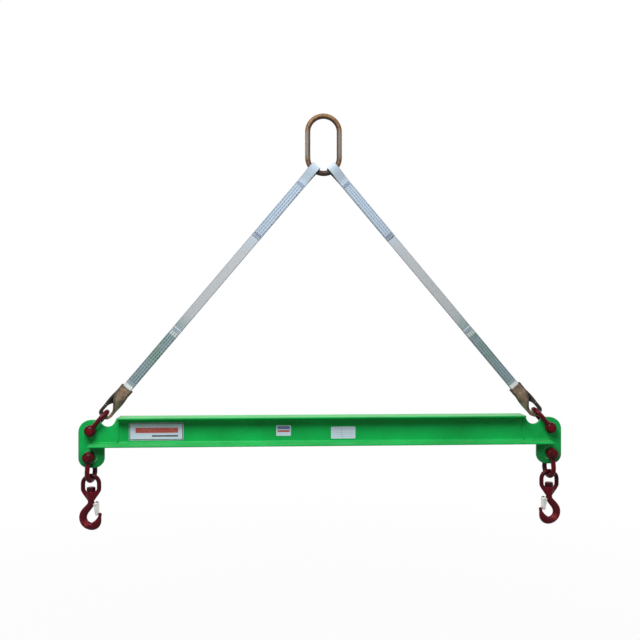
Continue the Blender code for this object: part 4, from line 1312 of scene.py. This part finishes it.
def woven(across, along, rib, pick):
    """Height of a herringbone weave, from 0 to 1; the shift keeps its zigzag even over the middle."""
    zigzag = across.math("PINGPONG", across + ZIGZAG_SHIFT, ZIGZAG_RIBS * rib)
    twill = ((along + zigzag) * (2 * pi / pick)).sine()
    ribs = (across * (2 * pi / rib)).sine()
    return (twill * 0.6 + ribs * 0.4) * 0.5 + 0.5


def polyester_webbing():
    """Grey herringbone webbing, soiled at the beam end, white at the cut tail and in the lower eye, with
    painted shade in its weave and along its edges.
    """
    material, shader, place = new_finish("polyester_webbing", specular_ior_level=0.25, sheen_weight=0.15)
    across, along, height = strap_place(place)
    weave = woven(across, along, WEBBING_RIB, WEBBING_PICK)
    fade = height.step(*BRIGHT_FROM).between(WEBBING_GREY, WEBBING_BRIGHT)
    low_down = 1 - height.step(lower_tail - SOIL_BELOW, lower_tail + SOIL_ABOVE)
    soil = low_down * (place.noise(40, 4, 0.6) * 0.5 + 0.75)
    mottle = place.noise(26, 3, 0.6).step(0.35, 0.65)
    tone = soil.between(fade, mottle.between(WEBBING_SOILED, WEBBING_BLUED))
    fresh_tail = height.step(lower_tail - FRESH_TAIL, lower_tail - SOIL_BELOW) * (1 - (height > lower_tail))
    bare = 1 - height.step(LOWER_EYE_LENGTH - BARE_EDGE[0], LOWER_EYE_LENGTH - BARE_EDGE[1])
    tone = (fresh_tail * 0.6).larger(bare * 0.9).between(tone, WEBBING_WHITE)
    # Painted shade in the weave's hollows with a random speckle, then painted shade along both edges.
    shade = (1 - weave.step(0.1, 0.6)) * 0.14 + place.noise(330, 3, 0.7).step(0.52, 0.8) * 0.08
    strap_edge_shade = abs(across).step(*STRAP_EDGE_SHADE) * 0.75
    shade.larger(strap_edge_shade).between(tone, WEBBING_SHADE).into(shader, "Base Color")
    (0.72 + weave * 0.15).into(shader, "Roughness")
    weave.raised(0.35 * MM, 0.7).into(shader, "Normal")
    return material


def webbing_leg():
    """One leg's strip in its own frame, from the shackle's crown bar up Z to the link."""
    stations = leg_stations()
    section = webbing_section()
    mesh = ring_solid(strip_rings(stations, section, WEBBING_PLY))
    note_strap(mesh, stations, section)
    return mesh


def handed(mesh, word):
    """A leg's shape in its place; the left eye twists the other way."""
    if word == "right":
        return placed(mesh, leg_frames[word])
    copy = placed(mesh, leg_frames[word] @ Matrix.Diagonal((-1, 1, 1, 1)))
    copy.flip_normals()
    return copy


webbing = polyester_webbing()
leg_shape = webbing_leg()
for word in SIDES:
    piece("webbing_leg_" + word, handed(leg_shape, word), webbing, "bridle", "grey_webbing",
          "sling_" + word)


# The splices are sewn through both plies with waxed thread: four lengthwise rows of long stitches that
# show front and back, pale blue at the link end and dark grey at the beam end, closed by bars in blue.

STITCH = 8.2 * MM
STITCH_PITCH = 8.6 * MM
STITCH_ROWS = (-9.4 * MM, -3.2 * MM, 3.2 * MM, 9.4 * MM)
THREAD = 1.2 * MM
THREAD_SIDES = 8
STITCH_POINTS = 6
STITCH_RISE = 0.66 * MM
STITCH_SINK = 0.35 * MM
STITCH_WAIST = 0.55
BAR_STITCHES = 5
BAR_WIDTH = 21 * MM
BAR_FILL = 0.92
SPLICE_MARGIN = 6 * MM
END_BARS = (3 * MM, 5.5 * MM, 8 * MM, 10.5 * MM)
THREAD_PALE = (100, 130, 168)
THREAD_PALE_DEEP = (70, 98, 140)
THREAD_BLUE = (74, 96, 146)
THREAD_BLUE_DEEP = (46, 62, 106)
THREAD_DARK = (58, 76, 82)
THREAD_DARK_DEEP = (30, 42, 50)


def stitch(start, end, out):
    """One long stitch that dips into the webbing at both ends."""
    way = (end - start).normalized()
    rings = []
    for i in range(STITCH_POINTS + 1):
        share = i / STITCH_POINTS
        hump = sin(pi * share)
        middle = start + (end - start) * share + out * (STITCH_RISE * hump - STITCH_SINK)
        slim = THREAD / 2 * (STITCH_WAIST + (1 - STITCH_WAIST) * hump)
        rings.append(bar_ring(middle, way, out, slim, slim, THREAD_SIDES))
    return ring_solid(rings)


def sewn(starts, run):
    """Stitches on both faces of a splice, each over the same run from its (x, z) start."""
    surface = ply_side + WEBBING_PLY / 2
    shapes = []
    for front in (-1, 1):
        for x, z in starts:
            start = Vector((x, front * surface, z))
            shapes.append(stitch(start, start + run, Vector((0, front, 0))))
    return joined(shapes)


def rows_of_stitches(low, high):
    """Lengthwise rows along a splice from low to high."""
    count = int((high - low - 2 * SPLICE_MARGIN) / STITCH_PITCH)
    heights = [low + SPLICE_MARGIN + i * STITCH_PITCH for i in range(count)]
    return sewn([(row, z) for row in STITCH_ROWS for z in heights], Vector((0, 0, STITCH)))


def bars_of_stitches(*ends):
    """Bars across a splice; an end is its height and 1 or -1, the way into the splice."""
    pitch = BAR_WIDTH / BAR_STITCHES
    places = [i * pitch - BAR_WIDTH / 2 for i in range(BAR_STITCHES)]
    heights = [end + inward * set_in for set_in in END_BARS for end, inward in ends]
    return sewn([(x, z) for z in heights for x in places], Vector((BAR_FILL * pitch, 0, 0)))


def waxed_thread(name, light, deep):
    """Thread whose twisted strands catch the light."""
    material, shader, place = new_finish(name, specular_ior_level=0.4)
    twist = place.noise(1500, 2)
    twist.step(0.35, 0.65).between(deep, light).into(shader, "Base Color")
    (0.45 + twist * 0.25).into(shader, "Roughness")
    twist.raised(0.1 * MM, 0.6).into(shader, "Normal")
    return material


pale_thread = waxed_thread("pale_thread", THREAD_PALE, THREAD_PALE_DEEP)
blue_thread = waxed_thread("blue_thread", THREAD_BLUE, THREAD_BLUE_DEEP)
dark_thread = waxed_thread("dark_thread", THREAD_DARK, THREAD_DARK_DEEP)
sewing = {"link_end_rows_": (rows_of_stitches(top_tail, top_splice), pale_thread),
          "link_end_bars_": (bars_of_stitches((top_tail, 1), (top_splice, -1)), blue_thread),
          "beam_end_rows_": (rows_of_stitches(LOWER_EYE_LENGTH, lower_tail), dark_thread),
          "beam_end_bars_": (bars_of_stitches((lower_tail, -1)), blue_thread)}
for name, (shape, thread) in sewing.items():
    for word in SIDES:
        piece(name + word, placed(shape, leg_frames[word]), thread, "bridle", "grey_webbing")


# A wear sleeve covers each lower eye where it bears on the shackle: a tube of coarse brown cloth, hemmed
# at both mouths and slipped over the strip before it is sewn. It creases a little where the strip twists.

SLEEVE_LOOSE = 5.5 * MM
LOOSE = (10 * MM, 60 * MM)
HEM = 6 * MM
HEM_RISE = 0.5 * MM
CREASE_RISE = 0.45 * MM
CREASE_PITCH = 11 * MM
CREASE_FROM = 0.3
CREASE_SLANT = 3
TUBE_POINTS = 13
TUBE_FLAT = 0.9
TUBE_EDGE = [(0.96, 0.8), (0.995, 0.4), (1.0, 0), (0.995, -0.4), (0.96, -0.8)]
SLEEVE_RIB = 2 * MM
SLEEVE_PICK = 2.2 * MM
CLOTH_EDGE_SHADE = (9 * MM, 14 * MM)
SHADE_SPREAD = 8 * MM
SEAM = 9.5 * MM
SEAM_EDGE = (0.3 * MM, 0.8 * MM)
SEAM_STITCH = 4.5 * MM
SLEEVE_BROWN = (162, 140, 114)
SLEEVE_DEEP = (84, 68, 56)
SLEEVE_SHADED = (58, 50, 43)
SLEEVE_SHADED_DEEP = (34, 29, 25)
SLEEVE_THREAD = (150, 140, 122)


def tube_section():
    """Closed outline of the sleeve's section, with round edges."""
    half = [(TUBE_FLAT * (2 * i / (TUBE_POINTS - 1) - 1), 1) for i in range(TUBE_POINTS)]
    half += TUBE_EDGE
    return half + [(-u, -v) for u, v in half]


def wear_sleeve():
    """The sleeve's outer and inner skin as one closed tube, and how far along it the crown bar lies."""
    half = []
    for middle, spin, width in lower_eye_half():
        if middle.z < LOWER_EYE_LENGTH - SLEEVE_SETBACK + FIT:
            half.append((middle, spin, width + SLEEVE_LOOSE * gone(middle.z, *LOOSE)))
    stations = whole_eye(half)
    section = tube_section()
    mouth = half[-1][0].z
    inner = strip_rings(stations, section, WEBBING_PLY, PLY_GAP)
    outer = []
    for station, ring in zip(stations, strip_rings(stations, section, WEBBING_PLY, PLY_GAP + SLEEVE_WALL)):
        middle = station[0]
        wave = sin((2 * pi * middle.z + CREASE_SLANT * middle.x) / CREASE_PITCH)
        rise = CREASE_RISE * eased(middle.z / mouth - CREASE_FROM) * (1 + wave) / 2
        if middle.z > mouth - HEM:
            rise = HEM_RISE
        outer.append([p + (p - middle).normalized() * rise for p in ring])
    mesh = ring_solid(outer + inner[::-1], closed=True)
    note_strap(mesh, stations + stations[::-1], section)
    length = sum((ahead[0] - behind[0]).length for behind, ahead in zip(stations, stations[1:]))
    return mesh, length / 2


def coarse_cloth(crown_along):
    """Brown cloth with a sewn seam along both edges, with painted shade along its edges and past the crown
    bar.
    """
    material, shader, place = new_finish("coarse_brown_cloth", specular_ior_level=0.2, sheen_weight=0.2)
    across, along, height = strap_place(place)
    weave = woven(across, along, SLEEVE_RIB, SLEEVE_PICK)
    # Random blotches, with the weave's hollows painted deeper as shade.
    wear_and_painted_light = place.noise(75, 4, 0.65).step(0.35, 0.75) * 0.65 + weave * 0.35
    clean = wear_and_painted_light.between(SLEEVE_DEEP, SLEEVE_BROWN)
    darkened = wear_and_painted_light.between(SLEEVE_SHADED_DEEP, SLEEVE_SHADED)
    # Painted shade along both edges and over the eye's far branch, past the crown bar.
    cloth_edge_shade = abs(across).step(*CLOTH_EDGE_SHADE) * 0.7
    painted_shade = along.step(crown_along - SHADE_SPREAD, crown_along + SHADE_SPREAD).larger(cloth_edge_shade)
    tone = painted_shade.between(clean, darkened)
    seam_line = 1 - abs(abs(across) - SEAM).step(*SEAM_EDGE)
    seam = seam_line * ((along * (2 * pi / SEAM_STITCH)).sine() > 0)
    (seam * 0.6).between(tone, SLEEVE_THREAD).into(shader, "Base Color")
    (0.78 + weave * 0.15).into(shader, "Roughness")
    (weave + seam).raised(0.4 * MM, 0.8).into(shader, "Normal")
    return material


sleeve_shape, sleeve_crown = wear_sleeve()
brown_cloth = coarse_cloth(sleeve_crown)
for word in SIDES:
    piece("wear_sleeve_" + word, handed(sleeve_shape, word), brown_cloth, "bridle", "brown_sleeve",
          "eye_sleeve_" + word)


# The master link gathers both legs: an oblong ring of round alloy bar, forged, welded and heat treated.
# Its scale is a dark bronze brown, rubbed to grey steel along the straight sides where it is handled.

LINK_STEP = radians(5)
LINK_SIDES = 36
RUBBED_MIDDLE = (22 * MM, 46 * MM)
SHADED_INSIDE = (1 * MM, 8 * MM)
SHADED_SEAT = (14 * MM, 34 * MM)
BRONZE = (128, 95, 57)
BRONZE_DARK = (64, 42, 26)
RUBBED_STEEL = (113, 106, 99)
SHADE_STEEL = (34, 22, 17)


def master_link():
    """Bar bent to two half rounds and two straight sides."""
    ring = (LINK_INSIDE_WIDTH + LINK_STOCK) / 2
    top = link_high.z - LINK_STOCK - LINK_INSIDE_WIDTH / 2
    line = arc(0, top, ring, 0, pi, LINK_STEP) + arc(0, gather.z, ring, pi, 2 * pi, LINK_STEP)
    return bent_bar(standing(line), LINK_STOCK / 2, FORE_AFT, closed=True, sides=LINK_SIDES)


def heat_treated_bronze():
    """Bronze scale, rubbed to steel on the straight sides, with painted shade inside the ring and at the
    seat.
    """
    material, shader, place = new_finish("heat_treated_bronze", metallic=0.2, specular_ior_level=0.3)
    x, y, z = place.parts()
    inside = LINK_INSIDE_WIDTH / 2
    middle = (link_low.z + link_high.z) / 2
    straight = link_high.z - middle - LINK_STOCK - inside
    from_middle = abs(z - middle)
    scale = place.noise(110, 5, 0.65)
    pits = place.noise(620, 3, 0.6)
    brown = (scale * 0.6 + pits * 0.4).step(0.36, 0.62).between(BRONZE_DARK, BRONZE)
    rub = (1 - from_middle.step(*RUBBED_MIDDLE)) * (scale.step(0.3, 0.6) * 0.3 + 0.6)
    skin = rub.between(brown, RUBBED_STEEL)
    past_side = (from_middle - straight).larger(0)
    from_axis = (x * x + past_side * past_side) ** 0.5
    # Painted shade on the inside of the ring and at its seat between the sling eyes.
    inside_rim = 1 - from_axis.step(inside + SHADED_INSIDE[0], inside + SHADED_INSIDE[1])
    seat = 1 - (z - link_low.z).step(*SHADED_SEAT)
    painted_shade = inside_rim.larger(seat) * (0.75 + scale * 0.3)
    painted_shade.between(skin, SHADE_STEEL).into(shader, "Base Color")
    (0.38 + scale * 0.25).into(shader, "Roughness")
    (scale + pits * 0.4).raised(0.25 * MM, 0.6).into(shader, "Normal")
    return material


piece("oblong_link", master_link(), heat_treated_bronze(), "link", "bronze_steel", "master_link")


# The studio: a pale floor well below the hanging hooks, white all round, soft lamps in front, overhead
# and behind at both sides, and a camera level with the lower half of the sling, a little to the left of
# the beam's middle.

FLOOR_DROP = 0.45
FLOOR_SIZE = 14
FLOOR_GREY = (0.2, 0.2, 0.2, 1)
FLOOR_SHOWN_WHITE = 0.97
FLOOR_FADE = (1.6, 3.2)
WHITE = (1, 1, 1, 1)
AMBIENT = 0.1
LAMP_AIM = Vector((0, 0, -0.75))
LAMPS = {"key": (Vector((-0.6, -1.4, 0.95)), 1.5, 66),
         "overhead": (Vector((0.3, 0.1, 1.5)), 1.6, 12),
         "fill": (Vector((2.3, -1.5, 0.7)), 1.4, 10),
         "behind_left": (Vector((-2.3, 1.9, 0.4)), 1.6, 26),
         "behind_right": (Vector((2.3, 1.9, 0.4)), 1.6, 26)}
IMAGE_SIZE = 640
SENSOR = 36
VIEW_DISTANCE = 2.1
VIEW_PIXELS_PER_METRE = 376
VIEW_AZIMUTH = radians(-3)
VIEW_RISE = 0.26
VIEW_SHIFT_PIXELS = (3.5, -2)

scene = bpy.context.scene
floor_mesh = bpy.data.meshes.new("floor")
reach = FLOOR_SIZE / 2
floor_z = cad_box[0].z - FLOOR_DROP
corners = [(x * reach, y * reach, floor_z) for x, y in ((-1, -1), (1, -1), (1, 1), (-1, 1))]
floor_mesh.from_pydata(corners, [], [(0, 1, 2, 3)])
floor = bpy.data.objects.new("floor", floor_mesh)
bpy.context.collection.objects.link(floor)


def seen_directly(start):
    """1 for the camera's own rays and for rays that mirror or pass through a surface."""
    rays = [start.node("LightPath", None, None, out) for out in
            ("Is Camera Ray", "Is Glossy Ray", "Is Transmission Ray")]
    return rays[0].larger(rays[1]).larger(rays[2])


floor_finish, floor_shader, floor_place = new_finish("pale_floor", roughness=0.9, base_color=FLOOR_GREY)
floor_tree = floor_finish.node_tree
away = floor_place.node("VectorMath", {"operation": "LENGTH"}, {0: floor_place}, "Value")
whiteness = away.step(*FLOOR_FADE) * (1 - FLOOR_SHOWN_WHITE) + FLOOR_SHOWN_WHITE
shown = seen_directly(floor_place) * whiteness
white = floor_place.node("Emission", None, {"Color": WHITE, "Strength": 1.0})
paint = Wire(floor_tree, floor_shader.outputs[0])
mixed = floor_place.node("MixShader", None, {0: shown, 1: paint, 2: white})
mixed.into(floor_tree.nodes["Material Output"], "Surface")
floor_mesh.materials.append(floor_finish)

world = bpy.data.worlds.new("white_room")
world.use_nodes = True
scene.world = world
sky = Wire(world.node_tree, world.node_tree.nodes["Background"].outputs[0])
dim = sky.node("Background", None, {"Color": WHITE, "Strength": AMBIENT})
bright = sky.node("Background", None, {"Color": WHITE, "Strength": 1.0})
room = sky.node("MixShader", None, {0: seen_directly(sky), 1: dim, 2: bright})
room.into(world.node_tree.nodes["World Output"], "Surface")

for name, (place, size, power) in LAMPS.items():
    lamp_data = bpy.data.lights.new(name, "AREA")
    lamp_data.shape = "DISK"
    lamp_data.size = size
    lamp_data.energy = power
    lamp = bpy.data.objects.new(name, lamp_data)
    lamp.location = place
    lamp.rotation_mode = "QUATERNION"
    lamp.rotation_quaternion = (LAMP_AIM - place).to_track_quat("-Z", "Y")
    bpy.context.collection.objects.link(lamp)

camera_data = bpy.data.cameras.new("camera")
camera = bpy.data.objects.new("camera", camera_data)
bpy.context.collection.objects.link(camera)
scene.camera = camera
camera_data.sensor_width = SENSOR
camera_data.lens = SENSOR * VIEW_DISTANCE * VIEW_PIXELS_PER_METRE / IMAGE_SIZE
camera_data.shift_x = -VIEW_SHIFT_PIXELS[0] / IMAGE_SIZE
camera_data.shift_y = VIEW_SHIFT_PIXELS[1] / IMAGE_SIZE
back = Vector((sin(VIEW_AZIMUTH), -cos(VIEW_AZIMUTH), 0))
camera.location = back * VIEW_DISTANCE + Vector((0, 0, beam_high.z + VIEW_RISE))
camera.rotation_mode = "QUATERNION"
camera.rotation_quaternion = (-back).to_track_quat("-Z", "Y")
scene.view_settings.view_transform = "Standard"
